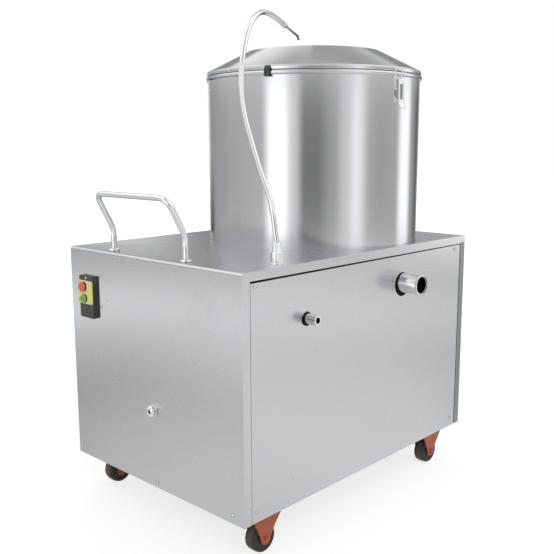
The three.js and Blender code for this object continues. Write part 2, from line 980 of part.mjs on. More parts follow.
// The lever is a channel round the base's ears, with its pin and a flared finger tip.
function latchLever() {
  const tipX = leverFrontOut + leverTipOut;
  const tipZ = -leverLength - leverTipDrop;
  const body = new THREE.Shape();
  body.moveTo(-leverBackOut, 0);
  body.lineTo(-leverBackOut, -leverBackLength);
  body.lineTo(leverFrontOut - leverWall, -leverLength);
  body.lineTo(tipX - leverWall, tipZ);
  body.lineTo(tipX, tipZ);
  body.lineTo(leverFrontOut, -leverLength);
  body.lineTo(leverFrontOut, leverBackOut - leverCornerRadius);
  body.absarc(
    leverFrontOut - leverCornerRadius,
    leverBackOut - leverCornerRadius,
    leverCornerRadius,
    0,
    quarterTurn,
    false,
  );
  body.lineTo(0, leverBackOut);
  body.absarc(0, 0, leverBackOut, quarterTurn, halfTurn, false);
  const inside = polygon([
    [leverFrontOut - leverWall, leverBackOut + cutOverrun],
    [-leverBackOut - cutOverrun, leverBackOut + cutOverrun],
    [-leverBackOut - cutOverrun, tipZ - cutOverrun],
    [tipX - leverWall, tipZ - cutOverrun],
    [tipX - leverWall, tipZ],
    [leverFrontOut - leverWall, -leverLength],
  ]);
  const channelHalf = leverHalfWidth - leverWall;
  const steps = 3;
  const trunnion = cylinderY(
    bailWireRadius + boreGap,
    -leverHalfWidth - cutOverrun,
    leverHalfWidth + cutOverrun,
    8,
  ).translate(-bailPivotIn, 0, -bailPivotDrop);
  const channel = cut(
    extrudeY(body, -leverHalfWidth, leverHalfWidth, steps),
    extrudeY(inside, -channelHalf, channelHalf, steps),
    trunnion,
  );
  const pin = cylinderY(latchPinRadius, -leverHalfWidth, leverHalfWidth, latchPinSides);
  return join(channel, pin).translate(latchPivotX, 0, -latchPivotDrop);
}

function latchBail() {
  const point = (x, y, z) => new THREE.Vector3(x, y, z);
  const corners = [
    point(-bailPivotIn, bailStubInner, -bailPivotDrop),
    point(-bailPivotIn, bailHalfWidth, -bailPivotDrop),
    point(0, bailHalfWidth, bailCrossbarRise),
    point(0, -bailHalfWidth, bailCrossbarRise),
    point(-bailPivotIn, -bailHalfWidth, -bailPivotDrop),
    point(-bailPivotIn, -bailStubInner, -bailPivotDrop),
  ];
  const path = bentPath(corners, bailBendRadius, bailBendSteps);
  const wire = sweep(path, bailWireRadius, bailSides);
  return wire.translate(latchPivotX, 0, -latchPivotDrop);
}

function latchKeeper() {
  const back = drumRadius + coneSkirtOut + fitGap + keeperWall / 2;
  const floor = keeperSeat - bailWireRadius - fitGap - keeperWall / 2;
  const lip = latchPivotX + bailWireRadius + keeperLipGap + keeperWall / 2;
  const outline = bentSheet(
    [
      [back, keeperTop],
      [back, floor],
      [lip, floor],
      [lip, keeperSeat + keeperLipRise],
    ],
    keeperWall,
  );
  return extrudeY(polygon(outline), -keeperWidth / 2, keeperWidth / 2);
}

function doorFrame() {
  const half = doorHalfWidth + doorFrameWall;
  const bottom = doorwayBottom - doorFrameWall;
  const top = doorwayTop + doorFrameWall;
  const collar = cut(
    block([drumRadius / 2, doorFrameFace], [-half, half], [bottom, top]),
    block(
      [0, doorFrameFace + cutOverrun],
      [-doorHalfWidth, doorHalfWidth],
      [doorwayBottom, doorwayTop],
    ),
    cylinderZ(drumRadius + fitGap, bottom - cutOverrun, top + cutOverrun, drumSegments),
  );
  const knuckles = [bottom + hingeKnuckleInset, top - hingeKnuckleInset - hingeKnuckleLength].map(
    (z) => hingeKnuckle(z, z + hingeKnuckleLength, [doorFrameFace - hingeRadius, doorFrameFace]),
  );
  return join(collar, ...knuckles);
}

const hingeX = doorFrameFace + fitGap + gasketThickness;
const hingeY = -(doorHalfWidth + doorFrameWall + hingeOffset);

// A knuckle bored for the hinge pin, with its web toward the doorway.
function hingeKnuckle(z0, z1, [webStart, webEnd]) {
  const webReach = hingeWebTuck - doorHalfWidth - doorFrameWall;
  return cut(
    join(
      cylinderZ(hingeRadius, z0, z1, hingeSides).translate(hingeX, hingeY, 0),
      block([webStart, webEnd], [hingeY, webReach], [z0, z1]),
    ),
    cylinderZ(hingePinRadius + boreGap, z0 - cutOverrun, z1 + cutOverrun, hingeSides).translate(
      hingeX,
      hingeY,
      0,
    ),
  );
}

const doorBottom = doorwayBottom - doorFrameWall + fitGap;
const doorTop = doorwayTop + doorFrameWall - fitGap;
const doorInnerFace = doorFrameFace + fitGap + gasketThickness + fitGap;
const doorOuterFace = doorInnerFace + doorThickness;

function dischargeDoor() {
  const half = doorHalfWidth + doorFrameWall;
  const plate = block([doorInnerFace, doorOuterFace], [-half, half], [doorBottom, doorTop]);
  const emboss = block(
    [doorInnerFace, doorOuterFace + doorEmboss],
    [-half + doorEmbossInset, half - doorEmbossInset * 2],
    [doorBottom + doorEmbossInset, doorTop - doorEmbossInset],
  );
  const low = doorwayBottom - doorFrameWall + hingeKnuckleInset + hingeKnuckleLength + hingeEndGap;
  const high = doorwayTop + doorFrameWall - hingeKnuckleInset - hingeKnuckleLength - hingeEndGap;
  const knuckle = hingeKnuckle(low, high, [doorInnerFace, doorOuterFace]);
  return join(plate, emboss, knuckle);
}

function doorGasket() {
  const outer = doorHalfWidth + doorFrameWall - gasketInset;
  const inner = doorHalfWidth + gasketInset;
  const x = [doorFrameFace + fitGap, doorFrameFace + fitGap + gasketThickness];
  return cut(
    block(x, [-outer, outer], [
      doorwayBottom - doorFrameWall + gasketInset,
      doorwayTop + doorFrameWall - gasketInset,
    ]),
    block([x[0] - cutOverrun, x[1] + cutOverrun], [-inner, inner], [
      doorwayBottom - gasketInset,
      doorwayTop + gasketInset,
    ]),
  );
}

function doorKnob() {
  const head = knobLength - knobStemLength;
  const knob = revolve(
    [
      [0, 0],
      [knobStemRadius * 1.6, 0],
      [knobStemRadius, knobStemLength / 2],
      [knobStemRadius, knobStemLength],
      [knobRadius, knobStemLength + head / 4],
      [knobRadius, knobLength - head / 4],
      [knobRadius * 0.7, knobLength],
      [0, knobLength],
    ],
    16,
  );
  const y = doorHalfWidth + doorFrameWall - knobInset;
  const z = (doorwayBottom + doorwayTop) / 2;
  return knob.rotateY(quarterTurn).translate(doorOuterFace + fitGap, y, z);
}

function doorHingePin() {
  const headRadius = hingePinRadius + sheet;
  const low = doorwayBottom - doorFrameWall + hingeKnuckleInset;
  const high = doorwayTop + doorFrameWall - hingeKnuckleInset;
  const pin = join(
    cylinderZ(hingePinRadius, low - sheet, high + sheet, hingeSides),
    cylinderZ(headRadius, high + fitGap, high + fitGap + sheet, hingeSides),
  );
  return pin.translate(hingeX, hingeY, 0);
}

function dischargeChute() {
  const shelfTop = doorwayBottom - doorFrameWall - fitGap;
  const shelf = shelfTop - sheet / 2;
  const start = drumRadius - chuteShelf;
  const end = drumRadius + chuteReach;
  const outline = bentSheet(
    [
      [start, shelf],
      [drumRadius + chuteShelf, shelf],
      [end, shelf - chuteDrop],
      [end, shelf - chuteDrop - chuteLip],
    ],
    sheet,
  );
  const drum = cylinderZ(
    drumRadius + fitGap,
    shelf - chuteDrop - cutOverrun,
    shelf + cutOverrun,
    drumSegments,
  );
  return cut(extrudeY(polygon(outline), -chuteHalfWidth, chuteHalfWidth), drum);
}

function wastePipe() {
  const radius = wastePipeDiameter / 2;
  const offset = wastePipeX - drumX;
  const mouth = -drumY - wastePipeReach;
  const inside = -drumRadius + radius;
  const drum = cylinderZ(
    drumRadius + fitGap,
    wastePipeHeight - wasteHoleDiameter,
    wastePipeHeight + wasteHoleDiameter,
    drumSegments,
  );
  const pipe = join(
    cylinderY(radius, mouth, inside, pipeSides),
    cylinderY(wasteSaddleRadius, -drumRadius - wasteSaddleDepth, inside, pipeSides),
  ).translate(offset, 0, wastePipeHeight);
  const bore = cylinderY(wastePipeBore / 2, mouth - cutOverrun, inside + cutOverrun, pipeSides);
  return cut(pipe, drum, bore.translate(offset, 0, wastePipeHeight));
}

// The inlet stub turns along the cabinet inside, on a bracket that hangs from the top.
function inletPipe() {
  const radius = inletPipeDiameter / 2;
  const path = bentPath(
    [
      new THREE.Vector3(inletPipeX, -inletPipeReach, inletPipeHeight),
      new THREE.Vector3(inletPipeX, inletElbowDepth, inletPipeHeight),
      new THREE.Vector3(inletPipeX - inletElbowReach, inletElbowDepth, inletPipeHeight),
    ],
    inletBendRadius,
    inletBendSteps,
  );
  const bore = inletPipeBore / 2;
  const pipe = sweep(path, radius, inletSides, bore);
  const under = cabinetTop - sheet - fitGap;
  const back = inletElbowDepth - inletBendRadius / 2;
  const x = [inletPipeX + bore, inletPipeX + bore + inletBracketWidth];
  const plate = block(x, [back, back + angleWall], [inletPipeHeight - inletBracketDrop, under]);
  const foot = block(x, [back, back + inletBracketFoot], [under - angleWall, under]);
  return join(pipe, plate, foot);
}

function feedHose() {
  const start = new THREE.Vector3(
    inletPipeX - inletElbowReach - fitGap,
    inletElbowDepth,
    inletPipeHeight,
  );
  const end = new THREE.Vector3(spoutX, spoutY, cabinetTop - spoutStemDrop - fitGap);
  const startLead = start.clone().add(new THREE.Vector3(-hoseLeadLength, 0, 0));
  const endLead = end.clone().add(new THREE.Vector3(0, 0, -hoseLeadLength));
  const pull = (endLead.z - startLead.z) / 2;
  const bend = new THREE.CubicBezierCurve3(
    startLead,
    startLead.clone().add(new THREE.Vector3(-pull, 0, 0)),
    endLead.clone().add(new THREE.Vector3(0, 0, -pull)),
    endLead,
  );
  const path = new StationPath([start, ...bend.getPoints(hoseSteps), end]);
  return sweep(path, hoseDiameter / 2, hoseSides, hoseBore / 2);
}

// The fixed spout fitting: lock nut under the top, flange, hexagon nut and collar above it.
function spoutBase() {
  const top = fitGap;
  const under = -sheet - fitGap;
  const nutTop = top + spoutFlangeHeight + spoutNutHeight;
  const collarTop = nutTop + spoutCollarHeight;
  const seatRadius = spoutTubeRadius + boreGap;
  const body = revolve(
    [
      [spoutBoreRadius, -spoutStemDrop],
      [spoutStemRadius, -spoutStemDrop],
      [spoutStemRadius, under - spoutLockNutHeight],
      [spoutStemRadius, top],
      [spoutFlangeRadius, top],
      [spoutFlangeRadius, top + spoutFlangeHeight],
      [spoutStemRadius, top + spoutFlangeHeight],
      [spoutStemRadius + fitGap, nutTop],
      [spoutCollarRadius, collarTop],
      [seatRadius, collarTop],
      [seatRadius, -spoutSeatDrop],
      [spoutBoreRadius, -spoutSeatDrop],
    ],
    spoutBaseSides,
  );
  const hexSides = 6;
  const nuts = join(
    cylinderZ(spoutNutRadius, top + spoutFlangeHeight - fitGap, nutTop, hexSides),
    cylinderZ(spoutLockNutRadius, under - spoutLockNutHeight, under, hexSides),
  );
  const bore = cylinderZ(seatRadius, -spoutSeatDrop, collarTop + cutOverrun, spoutBaseSides);
  const stem = cylinderZ(spoutBoreRadius, -spoutStemDrop - cutOverrun, 0, spoutBaseSides);
  return cut(join(body, nuts), bore, stem);
}

const spoutAim = new THREE.Vector3(1, 0, 0).applyAxisAngle(
  new THREE.Vector3(0, 0, 1),
  THREE.MathUtils.degToRad(spoutAimAngle),
);

// A place on the spout's route from its shares of the lean, the reach and the height.
function spoutPoint([leanShare, reachShare, heightShare]) {
  return new THREE.Vector3(0, spoutLean * leanShare, spoutHeight * heightShare).addScaledVector(
    spoutAim,
    spoutReach * reachShare,
  );
}

function spoutTube() {
  const collarTop = spoutFlangeHeight + spoutNutHeight + spoutCollarHeight + fitGap;
  const foot = new THREE.Vector3(0, 0, -spoutSeatDrop + fitGap);
  const straightEnd = new THREE.Vector3(0, 0, collarTop);
  const bends = spoutLeanShares.map(spoutPoint);
  const spline = new THREE.CatmullRomCurve3([straightEnd, ...bends], false, "centripetal");
  const end = spoutPoint(spoutTubeEndShares);
  const path = new StationPath([foot, ...spline.getSpacedPoints(spoutSteps), end]);
  return sweep(path, spoutTubeRadius, spoutSides, spoutBoreRadius);
}

function spoutNozzle() {
  const bend = spoutPoint(spoutLeanShares.at(-1));
  const end = spoutPoint(spoutTubeEndShares);
  const along = end.clone().sub(bend).normalize();
  const start = end.clone().addScaledVector(along, -spoutNozzleTuck);
  const turn = spoutPoint(spoutNozzleEndShares);
  const tip = turn.clone().addScaledVector(spoutAim, spoutTipOut);
  tip.z -= spoutTipDrop;
  const path = bentPath([start, turn, tip], spoutNozzleRadius, spoutNozzleBendSteps);
  return sweep(path, spoutNozzleRadius, spoutSides, spoutNozzleBore);
}

// The push handle: one bent rod that leans out past the cabinet's end, on two foot flanges.
function pushHandle() {
  const foot = cabinetTop + fitGap;
  const knee = cabinetTop + handleStraight;
  const bar = cabinetTop + handleRise;
  const barX = handleInset - handleLean;
  const path = bentPath(
    [
      new THREE.Vector3(handleInset, handleFrontY, foot),
      new THREE.Vector3(handleInset, handleFrontY, knee),
      new THREE.Vector3(barX, handleFrontY, bar),
      new THREE.Vector3(barX, handleRearY, bar),
      new THREE.Vector3(handleInset, handleRearY, knee),
      new THREE.Vector3(handleInset, handleRearY, foot),
    ],
    handleBendRadius,
    handleBendSteps,
  );
  const flanges = [handleFrontY, handleRearY].map((y) =>
    cylinderZ(handleFootRadius, foot, foot + handleFootHeight, handleSides * 2).translate(handleInset, y, 0),
  );
  return join(sweep(path, handleRodRadius, handleSides), ...flanges);
}

const switchCentre = cabinetTop - switchDrop;
const plateTop = switchCentre + switchHeight / 2 - plateTopMargin;
const stopHeight = plateTop - stopDrop;
const startHeight = plateTop - startDrop;
const plateFace = -(fitGap + switchDepth + plateProud);

function roundedRectangle(width, height, radius) {
  const x = width / 2;
  const y = height / 2;
  const shape = new THREE.Shape();
  shape.moveTo(-x + radius, -y);
  shape.lineTo(x - radius, -y);
  shape.absarc(x - radius, -y + radius, radius, -quarterTurn, 0, false);
  shape.lineTo(x, y - radius);
  shape.absarc(x - radius, y - radius, radius, 0, quarterTurn, false);
  shape.lineTo(-x + radius, y);
  shape.absarc(-x + radius, y - radius, radius, quarterTurn, halfTurn, false);
  shape.lineTo(-x, -y + radius);
  shape.absarc(-x + radius, -y + radius, radius, halfTurn, halfTurn + quarterTurn, false);
  return shape;
}

// The bore of one push button, through the plate and into the housing.
function buttonWellCutter(radius, height) {
  const depth = plateFace - cutOverrun;
  return cylinderX(radius + buttonSideGap, depth, plateFace + buttonWell, buttonSegments).translate(
    0,
    switchY,
    height,
  );
}

function switchHousing() {
  const shape = roundedRectangle(switchWidth, switchHeight, switchCornerRadius);
  const cornerSteps = 2;
  const body = extrudeX(shape, -fitGap - switchDepth, -fitGap, cornerSteps).translate(
    0,
    switchY,
    switchCentre,
  );
  return cut(
    body,
    buttonWellCutter(stopRadius, stopHeight),
    buttonWellCutter(startRadius, startHeight),
  );
}

function switchPlate() {
  const shape = roundedRectangle(plateWidth, plateHeight, switchCornerRadius);
  const cornerSteps = 2;
  const plate = extrudeX(shape, plateFace, plateFace + plateProud - fitGap, cornerSteps).translate(
    0,
    switchY,
    plateTop - plateHeight / 2,
  );
  return cut(
    plate,
    buttonWellCutter(stopRadius, stopHeight),
    buttonWellCutter(startRadius, startHeight),
  );
}

// A push button turned about X, from its stem's end in the well to its domed face.
function pushButton(radius, proud, travel, height) {
  const inner = buttonWell - travel - fitGap;
  const profile = [
    [0, -inner],
    [buttonStemRadius, -inner],
    [buttonStemRadius, -inner / 2],
    [radius, -inner / 2],
    [radius, proud - buttonDome],
    [radius - buttonDome, proud - buttonDome / 4],
    [radius / 2, proud],
    [0, proud],
  ];
  const button = revolve(profile, buttonSegments).rotateY(-quarterTurn);
  return button.translate(plateFace, switchY, height);
}

function cableGland() {
  const hexSides = 6;
  const wallInside = sheet + fitGap;
  const body = join(
    cylinderX(glandNeckRadius, -fitGap - glandHexHeight, wallInside + glandNutHeight, glandSides),
    cylinderX(glandHexRadius, -fitGap - glandHexHeight, -fitGap, hexSides),
    cylinderX(glandHexRadius, wallInside, wallInside + glandNutHeight, hexSides),
    revolve(
      [
        [0, 0],
        [glandDomeRadius, 0],
        [glandDomeRadius, glandDomeHeight / 2],
        [glandNeckRadius, glandDomeHeight],
        [0, glandDomeHeight],
      ],
      glandSides,
    )
      .rotateY(-quarterTurn)
      .translate(-glandHexHeight, 0, 0),
  );
  const bore = cylinderX(glandBoreRadius, -motorRadius, motorRadius, glandSides);
  return cut(body, bore).translate(0, glandY, cabinetBottom + glandRise);
}

// A grooved pulley about Z at the height of the drive.
function pulley(radius, boreRadius, segments, webbed) {
  const half = pulleyHalfWidth;
  const rim = webbed ? radius - pulleyRimDepth : boreRadius;
  const groove = [
    [radius, -half],
    [radius, -grooveMouthHalf],
    [radius - grooveDepth, -grooveFloorHalf],
    [radius - grooveDepth, grooveFloorHalf],
    [radius, grooveMouthHalf],
    [radius, half],
  ];
  const centre = webbed
    ? [
        [rim, half],
        [rim, pulleyWebHalf],
        [pulleyHubRadius, pulleyWebHalf],
        [pulleyHubRadius, pulleyHubHalf],
        [boreRadius, pulleyHubHalf],
        [boreRadius, -pulleyWebHalf],
        [rim, -pulleyWebHalf],
        [rim, -half],
      ]
    : [
        [boreRadius, half],
        [boreRadius, -half],
      ];
  return revolve([...groove, ...centre], segments).translate(0, 0, driveHeight);
}

function drivenPulley() {
  const holes = Array.from({ length: pulleyHoleCount }, (_, i) => {
    const reach = (drivenRadius - pulleyRimDepth + pulleyHubRadius) / 2;
    return cylinderZ(
      pulleyHoleRadius,
      driveHeight - pulleyHalfWidth,
      driveHeight + pulleyHalfWidth,
      8,
    )
      .translate(reach, 0, 0)
      .rotateZ((fullTurn * i) / pulleyHoleCount);
  });
  return cut(pulley(drivenRadius, shaftRadius + boreGap, pulleySegments, true), ...holes);
}

// The V-belt: a tapered section led round both pulleys, clear of their grooves.
function driveBelt() {
  const distance = drumX - motorX;
  const big = drivenRadius - beltDepth;
  const small = motorPulleyRadius - beltDepth;
  const wrap = Math.acos((big - small) / distance);
  const stations = [];
  const half = beltStations / 2;
  for (let i = 0; i < beltStations; i += 1) {
    const onBig = i < half;
    const share = (i % half) / (half - 1);
    const span = onBig ? halfTurn - wrap : wrap;
    const angle = (onBig ? 0 : halfTurn) - span + 2 * span * share;
    stations.push({ centre: onBig ? drumX : motorX, radius: onBig ? big : small, angle });
  }
  const section = [
    [0, -beltWidth / 2 + beltTaper],
    [beltDepth, -beltWidth / 2],
    [beltDepth, beltWidth / 2],
    [0, beltWidth / 2 - beltTaper],
  ];
  const positions = stations.flatMap(({ centre, radius, angle }) =>
    section.flatMap(([out, z]) => [
      centre + (radius + out) * Math.cos(angle),
      drumY + (radius + out) * Math.sin(angle),
      driveHeight + z,
    ]),
  );
  const sides = section.length;
  const index = [];
  for (let i = 0; i < beltStations; i += 1) {
    const next = (i + 1) % beltStations;
    for (let k = 0; k < sides; k += 1) {
      const up = (k + 1) % sides;
      const [a, b, c, d] = [i * sides + k, next * sides + k, next * sides + up, i * sides + up];
      index.push(a, b, c, a, c, d);
    }
  }
  const geometry = new THREE.BufferGeometry();
  geometry.setAttribute("position", new THREE.Float32BufferAttribute(positions, 3));
  geometry.setIndex(index);
  geometry.computeVertexNormals();
  return geometry;
}

const housingTop = railTopHeight;
const housingFlangeTop = railTopHeight - bridgeThickness - fitGap;
const housingBottom = driveHeight + pulleyHubHalf + housingPulleyGap;
const upperSeat = housingTop - bearingSeatDepth;
const lowerSeat = housingBottom + bearingSeatDepth;

function bearingHousing() {
  const seat = bearingOuterRadius + fitGap;
  return revolve(
    [
      [seat, housingBottom],
      [housingBodyRadius, housingBottom],
      [housingBodyRadius, housingFlangeTop - housingFlangeHeight],
      [housingFlangeRadius, housingFlangeTop - housingFlangeHeight],
      [housingFlangeRadius, housingFlangeTop],
      [housingSpigotRadius, housingFlangeTop],
      [housingSpigotRadius, housingTop],
      [seat, housingTop],
      [seat, upperSeat],
      [housingBore, upperSeat],
      [housingBore, lowerSeat],
      [seat, lowerSeat],
    ],
    bearingSegments,
  );
}

function bearing(bottom) {
  const inner = shaftRadius + boreGap;
  return revolve(
    [
      [inner, bottom],
      [bearingOuterRadius, bottom],
      [bearingOuterRadius, bottom + bearingWidth],
      [inner, bottom + bearingWidth],
    ],
    bearingSegments,
  );
}

function mainShaft() {
  const bottom = driveHeight - pulleyHubHalf - shaftTailLength / 2;
  const shoulderBottom = lowerSeat + fitGap;
  const shoulderTop = upperSeat - fitGap;
  return revolve(
    [
      [0, bottom],
      [shaftRadius, bottom],
      [shaftRadius, shoulderBottom],
      [shaftShoulderRadius, shoulderBottom],
      [shaftShoulderRadius, shoulderTop],
      [shaftRadius, shoulderTop],
      [shaftRadius, shaftTop],
      [0, shaftTop],
    ],
    shaftSegments,
  );
}

// The disc's wavy top as a grid of rings, closed by its rim, its bore and a flat underside.
function discBody() {
  const bore = shaftRadius + boreGap;
  const radii = [bore, discCentreRadius];
  for (let i = 1; i <= discRings; i += 1) {
    radii.push(discCentreRadius + ((discRadius - discCentreRadius) * i) / discRings);
  }
  const topAt = (radius, angle) => {
    if (radius <= discCentreRadius) return discCentreTop;
    const share = (radius - discCentreRadius) / (discRadius - discCentreRadius);
    const blend = Math.sin(share * quarterTurn);
    const mean = discCentreTop + (discMeanRise - discCentreRise) * blend;
    return mean + discWave * blend * Math.cos(discWaveCount * angle);
  };
  const rings = [
    ...radii.map((radius) => (angle) => [radius, topAt(radius, angle)]),
    () => [discRadius, discBottom],
    () => [bore, discBottom],
  ];
  const positions = [];
  for (const ring of rings) {
    for (let j = 0; j < discSegments; j += 1) {
      const angle = (fullTurn * j) / discSegments;
      const [radius, z] = ring(angle);
      positions.push(radius * Math.cos(angle), radius * Math.sin(angle), z);
    }
  }
  const index = [];
  rings.forEach((_, i) => {
    const next = (i + 1) % rings.length;
    for (let j = 0; j < discSegments; j += 1) {
      const k = (j + 1) % discSegments;
      const [a, b] = [i * discSegments + j, i * discSegments + k];
      const [c, d] = [next * discSegments + k, next * discSegments + j];
      index.push(a, c, b, a, d, c);
    }
  });
  const geometry = new THREE.BufferGeometry();
  geometry.setAttribute("position", new THREE.Float32BufferAttribute(positions, 3));
  geometry.setIndex(index);
  return geometry;
}

function abrasiveDisc() {
  const bore = shaftRadius + boreGap;
  const embed = discBottomDrop / 2;
  const hub = revolve(
    [
      [bore, discBottom - discHubDrop],
      [discHubRadius, discBottom - discHubDrop],
      [discHubRadius, discBottom + embed],
      [bore, discBottom + embed],
    ],
    shaftSegments,
  );
  const skirt = revolve(
    [
      [discSkirtRadius - discSkirtWall, panFloorHeight + discSkirtFloorGap],
      [discSkirtRadius, panFloorHeight + discSkirtFloorGap],
      [discSkirtRadius, discBottom + embed],
      [discSkirtRadius - discSkirtWall, discBottom + embed],
    ],
    bearingSegments,
  );
  const vaneOuter = discRadius - vaneEdgeInset;
  const vanes = [-1, 1].map((side) =>
    block(
      side > 0 ? [vaneInner, vaneOuter] : [-vaneOuter, -vaneInner],
      [-vaneThickness / 2, vaneThickness / 2],
      [panFloorHeight + vaneFloorGap, discBottom + embed],
    ),
  );
  return join(discBody(), hub, skirt, ...vanes);
}

function discCap() {
  const bottom = discCentreTop + fitGap;
  const socket = shaftRadius + boreGap;
  const roof = shaftTop + fitGap;
  const domeSteps = 4;
  const dome = Array.from({ length: domeSteps + 1 }, (_, i) => {
    const angle = (quarterTurn * i) / domeSteps;
    return [
      capRadius * Math.cos(angle),
      bottom + capEdge + (capHeight - capEdge) * Math.sin(angle),
    ];
  });
  dome.at(-1)[0] = 0;
  return revolve([[0, roof], [socket, roof], [socket, bottom], [capRadius, bottom], ...dome], capSegments);
}

const motorBottom = bracketHeight + bracketWall / 2 + fitGap;

function motorBody() {
  const bodyBottom = motorBottom + motorFlangeHeight;
  const bodyTop = cabinetTop - sheet - motorHeadroom - motorCowlHeight;
  const pitch = fullTurn / motorFinCount;
  const fins = Array.from({ length: motorFinCount }, (_, i) => {
    const start = pitch * i;
    return [
      [motorRadius, start - (pitch * motorFinShare) / 2],
      [motorRadius, start + (pitch * motorFinShare) / 2],
      [motorCoreRadius, start + (pitch * (1 - motorFinShare)) / 2],
      [motorCoreRadius, start + pitch - (pitch * (1 - motorFinShare)) / 2],
    ].map(([radius, angle]) => [radius * Math.cos(angle), radius * Math.sin(angle)]);
  }).flat();
  const cowlTop = bodyTop + motorCowlHeight;
  const flangeAndCowl = join(
    cylinderZ(motorFlangeRadius, motorBottom, bodyBottom + motorCowlRound, bearingSegments),
    revolve(
      [
        [0, bodyTop - motorCowlRound],
        [motorRadius, bodyTop - motorCowlRound],
        [motorRadius, cowlTop - motorCowlRound],
        [motorRadius - motorCowlRound, cowlTop],
        [0, cowlTop],
      ],
      bearingSegments,
    ),
  );
  const boxMiddle = (bodyBottom + bodyTop) / 2;
  const box = block(
    [-motorBoxWidth / 2, motorBoxWidth / 2],
    [motorCoreRadius - motorCowlRound, motorRadius + motorBoxDepth],
    [boxMiddle - motorBoxHeight / 2, boxMiddle + motorBoxHeight / 2],
  );
  const bore = cylinderZ(
    motorShaftRadius + boreGap,
    motorBottom - cutOverrun,
    motorBottom + motorBoreDepth,
    shaftSegments,
  );
  const body = join(extrudeZ(polygon(fins), bodyBottom, bodyTop), flangeAndCowl, box);
  return cut(body, bore);
}

function motorShaft() {
  const bottom = driveHeight - pulleyHalfWidth - sheet;
  const step = driveHeight + pulleyHalfWidth + fitGap;
  const top = motorBottom + motorBoreDepth - fitGap;
  return revolve(
    [
      [0, bottom],
      [motorPulleySeatRadius, bottom],
      [motorPulleySeatRadius, step],
      [motorShaftRadius, step],
      [motorShaftRadius, top],
      [0, top],
    ],
    shaftSegments,
  );
}

// A bent bracket that stands on the base frame's bars and holds the motor over its shaft.
function motorBracket() {
  const footHeight = cabinetBottom + motorBarThickness + fitGap + bracketWall / 2;
  const outline = bentSheet(
    [
      [-bracketHalfSpan - bracketFoot, footHeight],
      [-bracketHalfSpan, footHeight],
      [-bracketHalfSpan, bracketHeight],
      [bracketHalfSpan, bracketHeight],
      [bracketHalfSpan, footHeight],
      [bracketHalfSpan + bracketFoot, footHeight],
    ],
    bracketWall,
  );
  const hole = cylinderZ(
    bracketHoleRadius,
    bracketHeight - cutOverrun,
    bracketHeight + cutOverrun,
    shaftSegments,
  );
  return cut(extrudeX(polygon(outline), -bracketHalfLength, bracketHalfLength), hole);
}

const group = new THREE.Group();
group.position.set(
  -(machineMinX + machineMaxX) / 2,
  -(machineMinY + machineMaxY) / 2,
  0,
);

add(group, "cabinet_shell", cabinetShell(), metal(steelColor, 0.35));
add(group, "front_panel", frontPanel(), metal(steelColor, 0.35));
add(group, "rear_panel", rearPanel(), metal(steelColor, 0.35));
add(group, "base_frame", baseFrame(), plain(frameColor, 0.6));
add(group, "push_handle", pushHandle(), metal(chromeColor, 0.12));
add(group, "inlet_pipe", inletPipe(), metal(brightSteelColor, 0.3));
add(group, "feed_hose", feedHose(), plain(rubberColor, 0.6));
add(group, "switch_housing", switchHousing(), plain(switchColor, 0.4));
add(group, "switch_plate", switchPlate(), plain(plateColor, 0.4));
add(
  group,
  "stop_button",
  pushButton(stopRadius, stopProud, stopProud / 2, stopHeight),
  plain(stopColor, 0.35),
);
add(
  group,
  "start_button",
  pushButton(startRadius, startProud, startProud / 2, startHeight),
  plain(startColor, 0.35),
);
add(group, "cable_gland", cableGland(), metal(chromeColor, 0.25));
add(group, "drive_belt", driveBelt(), plain(rubberColor, 0.8));

const casters = [
  ["front_left", casterInsetHandleEnd, casterInsetDepth],
  ["front_right", cabinetLength - casterInsetDrumEnd, casterInsetDepth],
  ["rear_left", casterInsetHandleEnd, cabinetDepth - casterInsetDepth],
  ["rear_right", cabinetLength - casterInsetDrumEnd, cabinetDepth - casterInsetDepth],
];
for (const [place, x, y] of casters) {
  const caster = new THREE.Group();
  caster.position.set(x, y, 0);
  group.add(caster);
  add(caster, `caster_fork_${place}`, casterFork(), plain(forkColor, 0.5));
  add(caster, `caster_wheel_${place}`, casterWheel(), plain(rubberColor, 0.7));
}

const drum = new THREE.Group();
drum.position.set(drumX, drumY, 0);
group.add(drum);
add(drum, "drum_shell", drumShell(), metal(brightSteelColor, 0.25));
add(drum, "waste_pan", wastePan(), metal(steelColor, 0.4));
add(drum, "abrasive_liner", abrasiveLiner(), plain(abrasiveColor, 0.95));
add(drum, "feed_cone", feedCone(), metal(brightSteelColor, 0.25));
add(drum, "waste_pipe", wastePipe(), metal(brightSteelColor, 0.3));
add(drum, "door_frame", doorFrame(), metal(steelColor, 0.35));
add(drum, "door_hinge_pin", doorHingePin(), metal(chromeColor, 0.2));
add(drum, "discharge_chute", dischargeChute(), metal(steelColor, 0.35));
add(drum, "discharge_door", dischargeDoor(), metal(steelColor, 0.3));
add(drum, "door_gasket", doorGasket(), plain(rubberColor, 0.8));
add(drum, "door_knob", doorKnob(), plain(rubberColor, 0.4));
add(drum, "bearing_housing", bearingHousing(), plain(castMetalColor, 0.6));
add(drum, "upper_bearing", bearing(upperSeat + fitGap), metal(chromeColor, 0.2));
add(drum, "lower_bearing", bearing(lowerSeat - fitGap - bearingWidth), metal(chromeColor, 0.2));
add(drum, "main_shaft", mainShaft(), metal(castMetalColor, 0.3));
add(drum, "driven_pulley", drivenPulley(), metal(castMetalColor, 0.5));
add(drum, "abrasive_disc", abrasiveDisc(), plain(abrasiveColor, 0.95));
add(drum, "disc_cap", discCap(), metal(brightSteelColor, 0.2));

